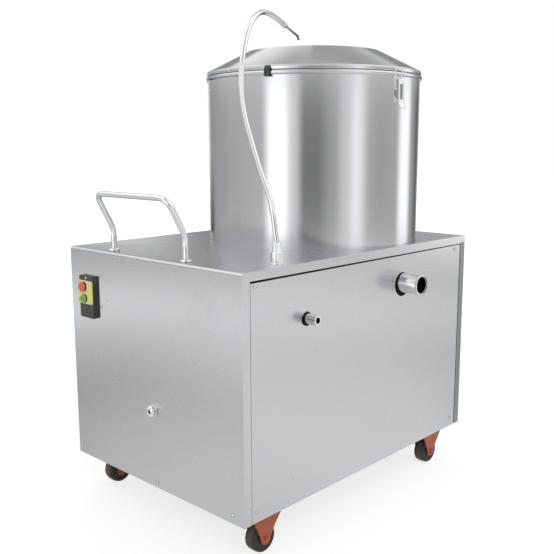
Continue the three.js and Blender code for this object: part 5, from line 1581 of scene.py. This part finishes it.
@dataclass
class Drum:
    """The peeling drum: its wall, liner, pan and the wavy abrasive disc."""

    workshop: Workshop
    bead_radius: float = 4.5
    doorway_half: float = 60.0
    doorway_low: float = 541.0
    doorway_high: float = 691.0
    waste_radius: float = 17.5
    waste_run: Point2 = (-20.0, 90.0)
    liner_inner: float = 216.2
    liner_outer: float = 223.2
    liner_low: float = 496.3
    liner_high: float = 843.0
    disc_low: float = 505.0
    disc_centre: float = 535.0
    disc_edge: float = 528.0
    disc_flat: float = 46.0
    disc_radius: float = 212.0
    disc_bore: float = 12.95
    disc_rings: int = 56
    disc_sides: int = 240
    wave_height: float = 6.0
    waves: int = 3
    cap_sides: Curve = ((25.0, 16.6), (30.0, 11.0), (30.0, 0.0), (0.0, 0.0))
    hub: Point2 = (26.0, 24.0)
    skirt: Point3 = (38.0, 42.0, 46.0)
    vane: Point3 = (164.0, 5.0, 66.0)
    vane_middle: float = 122.0
    seam_half: float = 1.6
    seam_angle: float = 120.0
    rivet_angles: Point2 = (105.0, 150.0)
    rivet_drop: float = 29.0

    def build(self) -> None:
        """Builds the drum and what it holds."""
        shop = self.workshop
        top, bead = MACHINE.rim_height, self.bead_radius
        inner, outer, low = MACHINE.drum_inner, MACHINE.drum_radius, MACHINE.drum_bottom
        rim = arc((outer, top - bead), bead, -90, 90, 12)
        wall = Sketch().turned([(inner, low), (outer, low), *rim, (inner, top)], DRUM_AXIS, 240)
        cuts = [self._doorway(inner, outer), self._waste_hole()]
        shop.sketched("drum_wall", wall, DRUM_STEEL, "frame", ["drum_shell"], cuts=cuts)
        inner, outer = self.liner_inner, self.liner_outer
        middle = ((inner + outer) / 2, (self.liner_low + self.liner_high) / 2)
        section = rectangle(outer - inner, self.liner_high - self.liner_low, middle)
        liner, cuts = Sketch().turned(section, DRUM_AXIS, 192), [self._doorway(inner, outer)]
        shop.sketched("grit_liner", liner, GRIT, nodes=["abrasive_liner"], cuts=cuts)
        shop.refined("waste_pan", TRIM_STEEL, angle=50.0)
        self._disc()
        crown = arc((0.0, -120.0), 140.0, 87, 82, 3)
        cap = [(0.0, 20.0), *crown, *self.cap_sides]
        seat = DRUM_AXIS @ placed(0, 0, self.disc_centre + MACHINE.fit_gap)
        nut = Sketch().turned(cap, seat, 72)
        shop.sketched("disc_cap_nut", nut, DRUM_STEEL, "disc", ["disc_cap"], bevel=0.8)
        self._joints()

    def _doorway(self, inner: float, outer: float) -> Sketch:
        """Draws the block that cuts the doorway.

        Args:
            inner: The inner radius of the wall that it cuts.
            outer: The wall's outer radius.

        Returns:
            The block.
        """
        width = outer - inner + 2 * MACHINE.cut_overrun
        opening = rectangle(width, self.doorway_half * 2, ((outer + inner) / 2, 0.0))
        return Sketch().slab(opening, self.doorway_low, self.doorway_high, DRUM_AXIS)

    def _waste_hole(self) -> Sketch:
        """Draws the rod that cuts the waste pipe's hole.

        Returns:
            The rod.
        """
        start, length = self.waste_run
        place = aimed((MACHINE.waste_x, start, MACHINE.waste_height), REAR)
        rod = [(0.0, 0.0), (self.waste_radius, 0.0), (self.waste_radius, length), (0.0, length)]
        return Sketch().turned(rod, place, 48)

    def _disc(self) -> None:
        """Builds the abrasive disc, whose top a Geometry Nodes tree lifts into waves."""
        draft = bmesh.new()
        mark = draft.verts.layers.bool.new("top")
        sides, count = self.disc_sides, self.disc_rings
        span = self.disc_radius - self.disc_bore
        radii = [self.disc_bore + span * step / count for step in range(count + 1)]
        heights = [(radius, self.disc_centre, True) for radius in radii]
        heights += [(radius, self.disc_low, False) for radius in (self.disc_radius, self.disc_bore)]
        rings = []
        for radius, height, top in heights:
            ring = []
            for step in range(sides):
                spot = DRUM_AXIS @ polar(radius, FULL_TURN * step / sides, height)
                vert = draft.verts.new(TO_ROW @ spot)
                vert[mark] = top
                ring.append(vert)
            rings.append(ring)
        for low, high in zip(rings, rings[1:] + rings[:1]):
            for a, b in zip(range(sides), [*range(1, sides), 0]):
                draft.faces.new((low[a], low[b], high[b], high[a]))
        bmesh.ops.recalc_face_normals(draft, faces=draft.faces)
        obj = linked("wavy_disc", drafted(draft, "wavy_disc"))
        values = {
            "Centre": tuple(TO_ROW @ Vector((MACHINE.drum_x, MACHINE.drum_y, 0.0))),
            "Hub Radius": self.disc_flat * MM,
            "Radius": self.disc_radius * MM,
            "Fall": (self.disc_centre - self.disc_edge) * MM,
            "Wave": self.wave_height * MM,
            "Waves": float(self.waves),
            "Material": GRIT.as_material(),
        }
        smoothed(run_tree(obj, self.workshop.wavy_disc, values), 40.0)
        self.workshop.deliver(obj, GRIT, "disc", ["abrasive_disc"])
        self._under_disc()

    def _under_disc(self) -> None:
        """Builds the disc's hub, its splash skirt and its two sweeping vanes."""
        low, bore, (hub, hub_drop) = self.disc_low, self.disc_bore, self.hub
        inner, outer, drop = self.skirt
        boss = [(bore, low), (hub, low), (hub, low - hub_drop), (bore, low - hub_drop)]
        skirt = [(inner, low), (outer, low), (outer, low - drop), (inner, low - drop)]
        sketch = Sketch().turned(boss, DRUM_AXIS, 64).turned(skirt, DRUM_AXIS, 96)
        length, width, height = self.vane
        for side in (-1, 1):
            blade = rectangle(length, width, (self.vane_middle * side, 0.0))
            sketch.slab(blade, low - height, low, DRUM_AXIS)
        self.workshop.sketched("disc_hub_and_vanes", sketch, CAST_IRON, "disc", bevel=0.6)

    def _joints(self) -> None:
        """Builds the welded seam down the back of the drum and the rivets of the liner."""
        half, low, high = self.seam_half, MACHINE.cabinet_top + 2.0, MACHINE.rim_height - 9.5
        side = [(224.7, -half), (225.5, -half * 0.5)]
        outline = [*side, (225.7, 0.0), *((out, -across) for out, across in reversed(side))]
        seam = Sketch().slab(outline, low, high, round_drum(self.seam_angle, 0.0))
        self.workshop.sketched("drum_seam", seam, DRUM_STEEL, angle=60.0)
        height = MACHINE.rim_height - self.rivet_drop
        seats = [drum_seat(angle, MACHINE.drum_radius, height) for angle in self.rivet_angles]
        self.workshop.fastened("liner_rivets", domed_rivet(2.6, 0.9), seats, DRUM_STEEL)


@dataclass
class FeedCone:
    """The conical feed ring with its two black claws and its rivets."""

    workshop: Workshop
    thickness: float = 1.5
    spigot_radius: float = 221.75
    spigot_depth: float = 10.0
    seat: float = 1.05
    skirt_radius: float = 226.75
    skirt_height: float = 8.0
    mouth_radius: float = 141.25
    cone_height: float = 51.0
    fold_radius: float = 1.6
    rivet_angles: Point2 = (174.0, 354.0)
    rivet_rise: float = 4.6

    def build(self) -> None:
        """Builds the ring, its claws and its rivets."""
        shop, spigot, skirt = self.workshop, self.spigot_radius, self.skirt_radius
        folded = [
            (spigot, -self.spigot_depth), (spigot, self.seat), (skirt, self.seat),
            (skirt, self.skirt_height), (self.mouth_radius, self.cone_height),
        ]
        profile = sheet_outline(fillet(folded, self.fold_radius, closed=False), self.thickness)
        ring = Sketch().turned(profile, round_drum(0.0), 240)
        shop.sketched("feed_ring", ring, DRUM_STEEL, nodes=["feed_cone"])
        for side in ("left", "right"):
            shop.refined(f"cone_claw_{side}", BLACK_PLASTIC, bevel=1.6, segments=3)
        radius, height = skirt + self.thickness / 2, MACHINE.rim_height + self.rivet_rise
        seats = [drum_seat(angle, radius, height) for angle in self.rivet_angles]
        shop.fastened("ring_rivets", domed_rivet(2.4, 1.2), seats, ZINC)


@dataclass
class ToggleLatch:
    """One toggle latch: base, lever, wire bail and keeper."""

    workshop: Workshop
    side: str
    angle: float
    pivot: Point2 = (232.0, -20.0)
    bail_drop: float = 14.0
    bail_in: float = 0.8
    bail_stub: float = 5.8
    bail_half: float = 9.4
    bail_rise: float = 23.5
    wire_radius: float = 1.25
    bend_radius: float = 2.0
    grip_half: float = 6.6
    grip_length: float = 50.0
    grip_out: float = 7.4
    grip_heights: Point2 = (-4.0, -32.0)
    grip_flare: Point3 = (0.6, 6.0, 1.4)
    rim_wire: float = 1.2
    rim_bends: tuple[float, ...] = (1.6, 6.0, 2.6, 2.6, 6.0, 1.6)
    well_face: float = 6.0
    well_inset: float = 3.4
    well_length: float = 30.0
    well_middle: float = -19.0
    well_span: Point2 = (0.05, 0.45)
    mouth_size: Point2 = (1.26, 11.04)
    mouth_out: float = 3.93
    mouth_span: Point2 = (3.5, 6.0)
    rivet_out: float = 226.8
    rivet_drop: float = 52.5

    def build(self) -> None:
        """Builds the latch."""
        shop, side, lever = self.workshop, self.side, f"latch_lever_{self.side}"
        shop.refined(f"latch_base_{side}", BRIGHT_ZINC, bevel=0.3)
        shop.refined(f"latch_keeper_{side}", BRIGHT_ZINC, bevel=0.3)
        place = round_drum(self.angle) @ placed(self.pivot[0], 0.0, self.pivot[1])
        opening = rectangle(*self.mouth_size, (self.mouth_out, 0.0))
        mouth = Sketch().slab(opening, *self.mouth_span, place)
        shop.refined(lever, BRIGHT_ZINC, lever, bevel=0.3, cuts=[mouth])
        foot = (-self.bail_in, self.bail_stub, -self.bail_drop)
        leg = [foot, (-self.bail_in, self.bail_half, -self.bail_drop)]
        leg.append((0.0, self.bail_half, self.bail_rise))
        corners = [*leg, *((out, -across, z) for out, across, z in reversed(leg))]
        node, wire = f"latch_bail_{side}", bent_route(corners, (self.bend_radius,), 6)
        shop.routed(f"bail_wire_{side}", wire, self.wire_radius, CHROME, node, [node], 16, place)
        self._grip(place)
        rivet = drum_seat(self.angle, self.rivet_out, MACHINE.rim_height - self.rivet_drop)
        shop.fastened(f"latch_rivets_{side}", domed_rivet(2.6, 1.1), [rivet], ZINC)

    def _grip(self, place: Matrix) -> None:
        """Rolls the lever's bright rim and lays a dark sheet of painted shade in the well inside
        it.

        Args:
            place: Where the lever's pivot is, with its own X axis pointing off the drum.
        """
        half, low, body = self.grip_half, -self.grip_length, f"latch_lever_{self.side}"
        front, (top, knee), (bow, flare, taper) = self.grip_out, self.grip_heights, self.grip_flare
        side = [(front, half, top), (front + bow, half, knee), (front + flare, half - taper, low)]
        other = [(out, -across, z) for out, across, z in reversed(side)]
        middle = (front, 0.0, top)
        route = bent_route([middle, *side, *other, middle], self.rim_bends, 6)
        rim = f"lever_rim_{self.side}"
        self.workshop.routed(rim, route, self.rim_wire, BRIGHT_ZINC, body, sides=14, place=place)
        # The well sheet is painted shade: a dark steel sheet laid in the lever's recess.
        face = place @ on_face((self.well_face, 0.0, 0.0), (0.0, 1.0, 0.0))
        width = 2 * half - self.well_inset
        outline = rectangle(width, self.well_length, (0.0, self.well_middle))
        well = Sketch().slab(outline, *self.well_span, face)
        self.workshop.sketched(f"lever_well_{self.side}", well, SHADE_STEEL, body)


@dataclass
class Spout:
    """The water spout: fitting, bent tube and thin nozzle."""

    workshop: Workshop
    origin: Point3 = (108.0, 25.0, 519.0)
    lean: float = 83.5
    height: float = 438.0
    reach: float = 247.0
    aim: float = 18.0
    tube_radius: float = 4.75
    nozzle_radius: float = 2.5
    straight: float = 38.3
    seat_drop: float = 5.7
    shares: tuple[Point3, ...] = (
        (0.16, 0.0, 0.24), (0.46, 0.0, 0.36), (0.71, 0.0, 0.472), (0.88, 0.0, 0.56),
        (0.98, 0.0, 0.645), (1.0, 0.005, 0.72), (1.0, 0.025, 0.795), (1.0, 0.065, 0.86),
        (1.0, 0.122, 0.915), (1.0, 0.21, 0.965), (1.0, 0.32, 0.994), (1.0, 0.43, 1.0),
        (1.0, 0.56, 0.993), (1.0, 0.67, 0.981),
    )
    end_share: Point3 = (1.0, 0.74, 0.9725)
    nozzle_share: Point3 = (1.0, 0.98, 0.9455)
    tuck: float = 12.0
    tip: Point2 = (5.0, 7.0)
    ferrule: Curve = ((2.3, -9.0), (5.0, -9.0), (5.5, -8.0), (5.5, -1.0), (4.2, 1.0), (2.3, 1.4))
    collar: Curve = (
        (10.2, 3.3), (10.2, 19.6), (8.6, 20.8), (8.3, 21.4), (7.0, 37.4), (6.4, 38.3)
    )
    stem_bore: float = 3.3
    stem_radius: float = 6.6
    stem_low: float = -36.0
    nut_radius: float = 11.5

    def build(self) -> None:
        """Builds the spout."""
        shop, place = self.workshop, placed(*self.origin)
        bends = [self._spot(share) for share in self.shares]
        end, turn = self._spot(self.end_share), self._spot(self.nozzle_share)
        curve = self._curve([Vector((0, 0, self.straight)), *bends], 5)
        route = [Vector((0, 0, -self.seat_drop)), *curve, end]
        tube = self.tube_radius
        shop.routed("spout_pipe", route, tube, CHROME, "spout", ["spout_tube"], 28, place)
        along = (end - bends[-1]).normalized()
        tip = turn + self._aim() * self.tip[0] - Vector((0, 0, self.tip[1]))
        jet = bent_route([tuple(end - along * self.tuck), tuple(turn), tuple(tip)], (5.0,))
        thin, nodes = self.nozzle_radius, ["spout_nozzle"]
        shop.routed("spout_jet", jet, thin, SATIN_ZINC, "spout", nodes, 20, place)
        sketch = Sketch().turned(self.ferrule, place @ aimed(end, along), 32)
        shop.sketched("spout_ferrule", sketch, CHROME, "spout")
        self._fitting(place)

    def _fitting(self, place: Matrix) -> None:
        """Builds the flange, the hexagon nut and the collar that carry the tube.

        Args:
            place: Where the fitting's own origin is.
        """
        bore, inner, outer = self.tube_radius + 0.25, self.stem_bore, self.stem_radius
        plate = [(bore, 0.3), (13.0, 0.3), (13.0, 2.4), (11.5, 3.3), (bore, 3.3)]
        body = Sketch().turned(fillet(plate, 0.5, 2), place, 48)
        body.turned([(bore, 3.3), *self.collar, (bore, self.straight)], place, 48)
        nut = circle(self.nut_radius, sides=6)
        body.slab(nut, 3.2, 20.3, place, [circle(9.6, sides=32)])
        sleeve = [(inner, self.stem_low), (outer, self.stem_low), (outer, 0.4), (bore, 0.4)]
        body.turned([*sleeve, (bore, -6.0), (inner, -6.0)], place, 32)
        body.slab(nut, -8.6, -1.8, place, [circle(6.4, sides=32)])
        self.workshop.sketched("spout_fitting", body, BRIGHT_ZINC, nodes=["spout_base"], bevel=0.35)

    def _aim(self) -> Vector:
        """Gives the level direction that the spout points in."""
        return polar(1.0, math.radians(self.aim))

    def _spot(self, share: Point3) -> Vector:
        """Turns the shares of lean, reach and height into a place from the spout's origin."""
        rise = Vector((0.0, self.lean * share[0], self.height * share[2]))
        return rise + self._aim() * self.reach * share[1]

    @staticmethod
    def _curve(points: Sequence[Vector], steps: int) -> list[Vector]:
        """Draws a centripetal Catmull-Rom curve through points.

        Args:
            points: The points that it passes.
            steps: How many short runs join two points.

        Returns:
            The curve's points.
        """
        whole = [points[0] * 2 - points[1], *points, points[-1] * 2 - points[-2]]
        curve = [points[0]]
        for a, b, c, d in zip(whole, whole[1:], whole[2:], whole[3:]):
            t1 = (b - a).length ** 0.5
            t2 = t1 + (c - b).length ** 0.5
            t3 = t2 + (d - c).length ** 0.5
            for step in range(1, steps + 1):
                t = t1 + (t2 - t1) * step / steps
                a1 = a.lerp(b, t / t1)
                a2 = b.lerp(c, (t - t1) / (t2 - t1))
                a3 = c.lerp(d, (t - t2) / (t3 - t2))
                b1, b2 = a1.lerp(a2, t / t2), a2.lerp(a3, (t - t1) / (t3 - t1))
                curve.append(b1.lerp(b2, (t - t1) / (t2 - t1)))
        return curve


@dataclass
class Castor:
    """One castor: pressed fork with its axle, and the wheel."""

    workshop: Workshop
    corner: str
    x: float
    y: float
    wheel_radius: float = 27.65
    wheel_half: float = 12.5
    axle_height: float = 27.655
    trail: float = 6.0
    bore: float = 3.25
    tread_half: float = 6.5
    tread_depth: float = 1.8
    bolt_spread: Point2 = (33.0, 20.6)
    plate_drop: float = 3.3

    def build(self) -> None:
        """Builds the castor."""
        shop, corner, body = self.workshop, self.corner, f"wheel_{self.corner}"
        shop.refined(f"caster_fork_{corner}", CASTOR_PAINT, bevel=0.5)
        place = aimed((self.x, self.y, self.axle_height), REAR)
        radius, half = self.wheel_radius, self.wheel_half
        side = [
            (self.bore, half), (9.0, half), (10.0, half - 1.6), (radius - 8.0, half - 2.2),
            (radius - 6.0, half - 0.2), (radius - 3.4, half - 0.1), (radius - 1.1, half - 1.6),
            (radius - 0.5, half - 5.0), (radius - 0.5, 0.0),
        ]
        profile = [*side, *((r, -h) for r, h in reversed(side[:-1]))]
        tyre = Sketch().turned(fillet(profile, 1.2, 3), place, 96)
        nodes = [f"caster_wheel_{corner}"]
        shop.sketched(f"wheel_tyre_{corner}", tyre, WHEEL_RUBBER, body, nodes)
        middle = (radius - self.tread_depth / 2, 0.0)
        band = fillet(rectangle(self.tread_depth, 2 * self.tread_half, middle), 0.6, 2)
        tread = Sketch().turned(band, place, 96)
        shop.sketched(f"wheel_tread_{corner}", tread, TREAD_RUBBER, body)
        (long, wide), low = self.bolt_spread, MACHINE.cabinet_bottom - self.plate_drop
        seats = [
            Seat((self.x + self.trail + dx, self.y + dy, low), DOWN)
            for dx in (-long, long)
            for dy in (-wide, wide)
        ]
        shop.fastened(f"castor_bolts_{corner}", hex_head(5.0, 2.6), seats, ZINC, seed=13)


@dataclass
class DischargeDoor:
    """The side door with its frame, gasket, hinge, knob and chute."""

    workshop: Workshop
    knob_place: Point3 = (240.9, 50.0, 616.0)
    knob_radius: float = 14.0
    knob_length: float = 24.0
    stem_radius: float = 5.0

    def build(self) -> None:
        """Builds the door and what it closes on."""
        shop = self.workshop
        shop.refined("discharge_door", TRIM_STEEL, "door", bevel=0.7, segments=3)
        shop.refined("door_frame", TRIM_STEEL, bevel=0.5, angle=50.0)
        shop.refined("discharge_chute", PANEL_STEEL)
        shop.refined("door_hinge_pin", ZINC, bevel=0.3)
        shop.refined("door_gasket", SOFT_RUBBER, "door", bevel=0.8)
        length, radius, stem = self.knob_length, self.knob_radius, self.stem_radius
        neck = [(stem, length * 0.42), (radius * 0.8, length * 0.44), (radius, length * 0.62)]
        head = [(radius * 0.93, length * 0.9), (radius * 0.6, length)]
        grip = fillet([*neck, *head], 2.5, closed=False)
        profile = [(0.0, 0.0), (stem * 1.6, 0.0), (stem, length * 0.22), *grip, (0.0, length)]
        knob = Sketch().turned(profile, DRUM_AXIS @ aimed(self.knob_place, DRUM_END), 64)
        shop.sketched("door_knob_grip", knob, BLACK_PLASTIC, "door", ["door_knob"], angle=50.0)


@dataclass
class Drive:
    """The shaft, pulleys, belt, bearings, motor and bracket inside the cabinet."""

    workshop: Workshop
    pieces: tuple[tuple[str, Finish, str, float], ...] = (
        ("driven_pulley", CAST_IRON, "disc", 0.6),
        ("motor_pulley", CAST_IRON, "motor_rotor", 0.5),
        ("main_shaft", SHAFT_STEEL, "disc", 0.5),
        ("motor_shaft", SHAFT_STEEL, "motor_rotor", 0.4),
        ("motor_body", MOTOR_PAINT, "frame", 0.8),
        ("bearing_housing", CAST_IRON, "frame", 0.8),
        ("motor_bracket", FRAME_PAINT, "frame", 0.5),
        ("drive_belt", SOFT_RUBBER, "frame", 0.5),
    )

    def build(self) -> None:
        """Builds the drive."""
        for node, finish, body, bevel in self.pieces:
            self.workshop.refined(node, finish, body, bevel)
        self.workshop.dressed(["upper_bearing", "lower_bearing"], ZINC)


# The studio


@dataclass
class LightTent:
    """A shell of pale cards round the machine that only reflections see.

    Its ground, wall and dome carry a light level on every corner, in the order in which the
    photographed steel shows them. Turns are degrees from the camera's side, its right positive.
    """

    radius: float = 2.4
    ground: float = 0.004
    wall_low: float = 0.2
    wall_high: float = 1.15
    eye: float = 0.9
    start: float = 220.6
    columns: int = 240
    ground_rings: int = 24
    wall_steps: tuple[float, ...] = (-0.05, 0.05, 0.5, 0.8, 1.0)
    dome_span: Point2 = (8.0, 84.0)
    dome_rings: int = 19
    wall_levels: Curve = (
        (-180, 0.5), (-168, 0.21), (-157, 0.95), (-143, 0.4), (-111, 0.49), (-90, 0.56),
        (-54, 0.62), (-40, 2.0), (-32, 2.0), (-19, 0.95), (-8, 0.21), (4, 0.21), (20, 0.46),
        (33, 0.88), (44, 1.35), (61, 0.55), (72, 0.49), (94, 0.55), (106, 1.6), (115, 1.6),
        (128, 0.45), (145, 0.15), (161, 0.5), (178, 0.45),
    )
    foot_levels: Curve = (
        (-180, 0.45), (-130, 0.55), (-112, 0.95), (-100, 1.3), (-60, 1.3), (0, 1.0), (80, 1.0),
        (98, 0.8), (108, 0.6), (132, 0.45), (180, 0.45),
    )
    ground_levels: Curve = (
        (0.0, 0.8), (0.85, 0.8), (1.15, 0.72), (1.35, 0.72), (1.5, 0.85), (1.9, 0.98), (2.4, 1.05),
    )
    ground_sides: Curve = (
        (-180, 0.45), (-120, 0.55), (-88, 0.7), (-70, 0.9), (-50, 1.0), (0, 1.0), (30, 1.12),
        (50, 1.18), (92, 1.14), (104, 1.0), (116, 0.75), (132, 0.5), (180, 0.45),
    )
    limb_shares: Curve = (
        (-180, 1.0), (-170, 1.0), (-160, 0.2), (-140, 0.2), (-130, 1.0), (180, 1.0),
    )
    limb_reach: float = 1.2
    limb_top: float = 0.3
    dome_levels: Curve = (
        (8, 1.0), (27, 1.05), (33, 0.75), (42, 0.5), (50, 0.43), (60, 0.6), (75, 0.9), (90, 0.95),
    )
    dome_sides: Curve = ((0, 0.6), (25, 0.7), (50, 1.3), (110, 1.45))
    back_level: float = 0.32
    back_turn: float = 171.0
    back_rise: float = 30.0
    behind_span: Point2 = (110.0, 40.0)
    high_span: Point2 = (14.0, 10.0)
    patch: tuple[Point2, Point2, float] = ((-179.0, -150.0), (30.0, 52.0), 0.55)

    def build(self) -> None:
        """Builds the shell."""
        centre = TO_ROW @ Vector((MACHINE.drum_x, MACHINE.drum_y, 0.0))
        count = self.ground_rings
        ground = [(self.radius * step / count, self.ground) for step in range(1, count + 1)]
        span = self.wall_high - self.wall_low
        wall = [(self.radius, self.wall_low + span * step) for step in self.wall_steps]
        dome = arc((0.0, self.eye), self.radius, *self.dome_span, self.dome_rings)
        draft = bmesh.new()
        level = draft.verts.layers.float.new("level")
        rings = []
        for distance, height in ground + wall + dome:
            ring = []
            for column in range(self.columns):
                turn = 360.0 * column / self.columns - 180.0
                spot = polar(distance, math.radians(self.start + turn), height)
                vert = draft.verts.new(Vector((centre.x, centre.y, 0.0)) + spot)
                vert[level] = self._level(turn, distance, height)
                ring.append(vert)
            rings.append(ring)
        for low, high in zip(rings, rings[1:]):
            for column, after in zip(range(self.columns), [*range(1, self.columns), 0]):
                draft.faces.new((low[after], low[column], high[column], high[after]))
        for ring in (rings[0], rings[-1]):
            draft.faces.new(ring)
        tent = linked("light_tent", drafted(draft, "light_tent"))
        tent.data.materials.append(self._card())
        for ray in ("camera", "diffuse", "transmission", "shadow", "volume_scatter"):
            setattr(tent, f"visible_{ray}", False)

    def _level(self, turn: float, distance: float, height: float) -> float:
        """Gives the light level of a corner of the shell.

        Args:
            turn: Its turn in degrees.
            distance: Its distance from the shell's axis in metres.
            height: Its height in metres.

        Returns:
            The level, where 1 is white.
        """
        limb = eased(self.limb_shares, turn)
        if height == self.ground and distance < self.radius:
            level = eased(self.ground_levels, distance) * eased(self.ground_sides, turn)
            return level * limb if distance > self.limb_reach else level
        if height < self.wall_low:
            return eased(self.foot_levels, turn) * limb
        behind = self._share(abs(turn), self.behind_span)
        if height == self.wall_high:
            return 1.0 - 0.5 * behind
        if height < self.wall_high:
            return eased(self.wall_levels, turn) * (limb if height < self.limb_top else 1.0)
        rise = math.degrees(math.atan2(height - self.eye, distance))
        high = self._share(rise, self.high_span)
        front = 1.0 + (eased(self.dome_sides, abs(turn)) - 1.0) * high
        (left, right), (low, top), more = self.patch
        back = eased(self.dome_levels, rise)
        if left < turn < right and low < rise < top:
            back += more
        if abs(turn) < self.back_turn and rise < self.back_rise:
            back = self.back_level
        return front + (back - front) * behind

    @staticmethod
    def _share(value: float, span: Point2) -> float:
        """Gives how far a value is along a span of a start and a length, from 0 to 1."""
        return min(1.0, max(0.0, (value - span[0]) / span[1]))

    @staticmethod
    def _card() -> Material:
        """Builds the glowing card.

        Returns:
            The material.
        """
        material = bpy.data.materials.new("tent_card")
        desk = cleared(material)
        level = desk.node("ShaderNodeAttribute", attribute_name="level").outputs["Fac"]
        glow = desk.node("ShaderNodeEmission", {"Strength": level}).outputs[0]
        desk.node("ShaderNodeOutputMaterial", {"Surface": glow})
        return material


@dataclass
class Studio:
    """The camera, the lamps, the white surroundings and the pale floor."""

    camera_at: Point3 = ((-847.4 - 345.225) * MM, (-873.2 - 228.0) * MM, 0.7266)
    yaw: float = 46.78
    pitch: float = 9.94
    roll: float = -0.146
    lens: float = 50.17
    sensor: float = 36.0
    clip_end: float = 60.0
    ambient: float = 0.78
    floor_radius: float = 14.0
    floor_depth: float = 0.02
    floor_glow: Point2 = (0.78, 1.05)
    floor_colour: float = 0.27
    floor_bounce: float = 0.72
    fade: Point2 = (0.75, 1.9)
    lamp_target: Point3 = (0.0, 0.0, 0.45)
    lamps: tuple[tuple[str, Point3, float, float], ...] = (
        ("key_lamp", (-2.2, -2.4, 2.6), 1.8, 34.0),
        ("fill_lamp", (2.6, -1.8, 2.0), 2.0, 16.0),
        ("back_lamp", (1.2, 2.6, 2.4), 1.6, 18.0),
    )

    def build(self) -> None:
        """Builds the studio."""
        self._camera()
        self._lamps()
        self._world()
        self._floor()
        LightTent().build()
        bpy.context.scene.view_settings.view_transform = "Standard"

    def _camera(self) -> None:
        """Puts the camera where the photograph was taken from."""
        yaw, pitch, roll = (math.radians(turn) for turn in (self.yaw, self.pitch, self.roll))
        flat, fall = math.cos(pitch), math.sin(pitch)
        forward = Vector((math.sin(yaw) * flat, math.cos(yaw) * flat, -fall))
        level = Vector((math.cos(yaw), -math.sin(yaw), 0.0))
        lift = level.cross(forward)
        right = level * math.cos(roll) + lift * math.sin(roll)
        up = lift * math.cos(roll) - level * math.sin(roll)
        data = bpy.data.cameras.new("photo_camera")
        data.lens, data.sensor_width, data.clip_end = self.lens, self.sensor, self.clip_end
        camera = linked("photo_camera", data)
        turn = Matrix((right, up, -forward)).transposed().to_4x4()
        camera.matrix_world = Matrix.Translation(self.camera_at) @ turn
        bpy.context.scene.camera = camera

    def _lamps(self) -> None:
        """Hangs the soft lamps, which light matt surfaces only."""
        for name, at, size, power in self.lamps:
            data = bpy.data.lights.new(name, "AREA")
            data.shape, data.size, data.energy = "DISK", size, power
            lamp = linked(name, data)
            lamp.matrix_world = aimed(at, Vector(at) - Vector(self.lamp_target))
            lamp.visible_glossy = False
            lamp.visible_camera = False

    @staticmethod
    def _seen(desk: Tree) -> Socket:
        """Finds the rays that see the surroundings as a backdrop.

        Args:
            desk: The tree that it is drawn in.

        Returns:
            1 for camera, glossy and transmission rays, else 0.
        """
        path = desk.node("ShaderNodeLightPath").outputs
        seen = desk.math("MAXIMUM", path["Is Camera Ray"], path["Is Glossy Ray"])
        return desk.math("MAXIMUM", seen, path["Is Transmission Ray"])

    def _world(self) -> None:
        """Builds the white surroundings."""
        world = bpy.data.worlds.new("white_room")
        bpy.context.scene.world = world
        desk = cleared(world)
        level = desk.mapped(self._seen(desk), (0.0, 1.0), (self.ambient, 1.0))
        white = {"Color": (1.0, 1.0, 1.0, 1.0), "Strength": level}
        room = desk.node("ShaderNodeBackground", white).outputs[0]
        desk.node("ShaderNodeOutputWorld", {"Surface": room})

    def _floor(self) -> None:
        """Lays the pale floor, which keeps the machine's soft shadow and fades to white."""
        outline = circle(self.floor_radius, sides=64)
        slab = Sketch().slab(outline, -self.floor_depth, 0.0, Matrix())
        floor = linked("pale_floor", slab.as_mesh("pale_floor", Matrix()))
        material = bpy.data.materials.new("pale_floor")
        desk = cleared(material)
        spot = {"Vector": desk.node("ShaderNodeNewGeometry").outputs["Position"]}
        away = desk.node("ShaderNodeVectorMath", spot, operation="LENGTH").outputs["Value"]
        level = desk.mapped(away, self.fade, self.floor_glow)
        matt, plain = (
            desk.node("ShaderNodeBsdfDiffuse", {"Color": (grey, grey, grey, 1.0)}).outputs[0]
            for grey in (self.floor_colour, self.floor_bounce)
        )
        glow = desk.node("ShaderNodeEmission", {"Strength": level}).outputs[0]
        both = desk.node("ShaderNodeAddShader", {0: matt, 1: glow}).outputs[0]
        choice = {0: self._seen(desk), 1: plain, 2: both}
        mixed = desk.node("ShaderNodeMixShader", choice).outputs[0]
        desk.node("ShaderNodeOutputMaterial", {"Surface": mixed})
        floor.data.materials.append(material)


def main() -> None:
    """Builds the studio and every sub-assembly."""
    logging.basicConfig(level=logging.INFO, format="%(message)s")
    Studio().build()
    workshop = Workshop()
    for assembly in (Cabinet, PushHandle, SwitchBox, Pipes, Drum, FeedCone):
        assembly(workshop).build()
    for side, angle in (("front", 265.75), ("rear", 85.75)):
        ToggleLatch(workshop, side, angle).build()
    Spout(workshop).build()
    for corner, x, y in (
        ("front_left", 71.0, 34.0),
        ("front_right", 614.0, 34.0),
        ("rear_left", 71.0, 466.0),
        ("rear_right", 614.0, 466.0),
    ):
        Castor(workshop, corner, x, y).build()
    DischargeDoor(workshop).build()
    Drive(workshop).build()
    log.info("%d pieces", workshop.made)


if __name__ == "__main__":
    main()
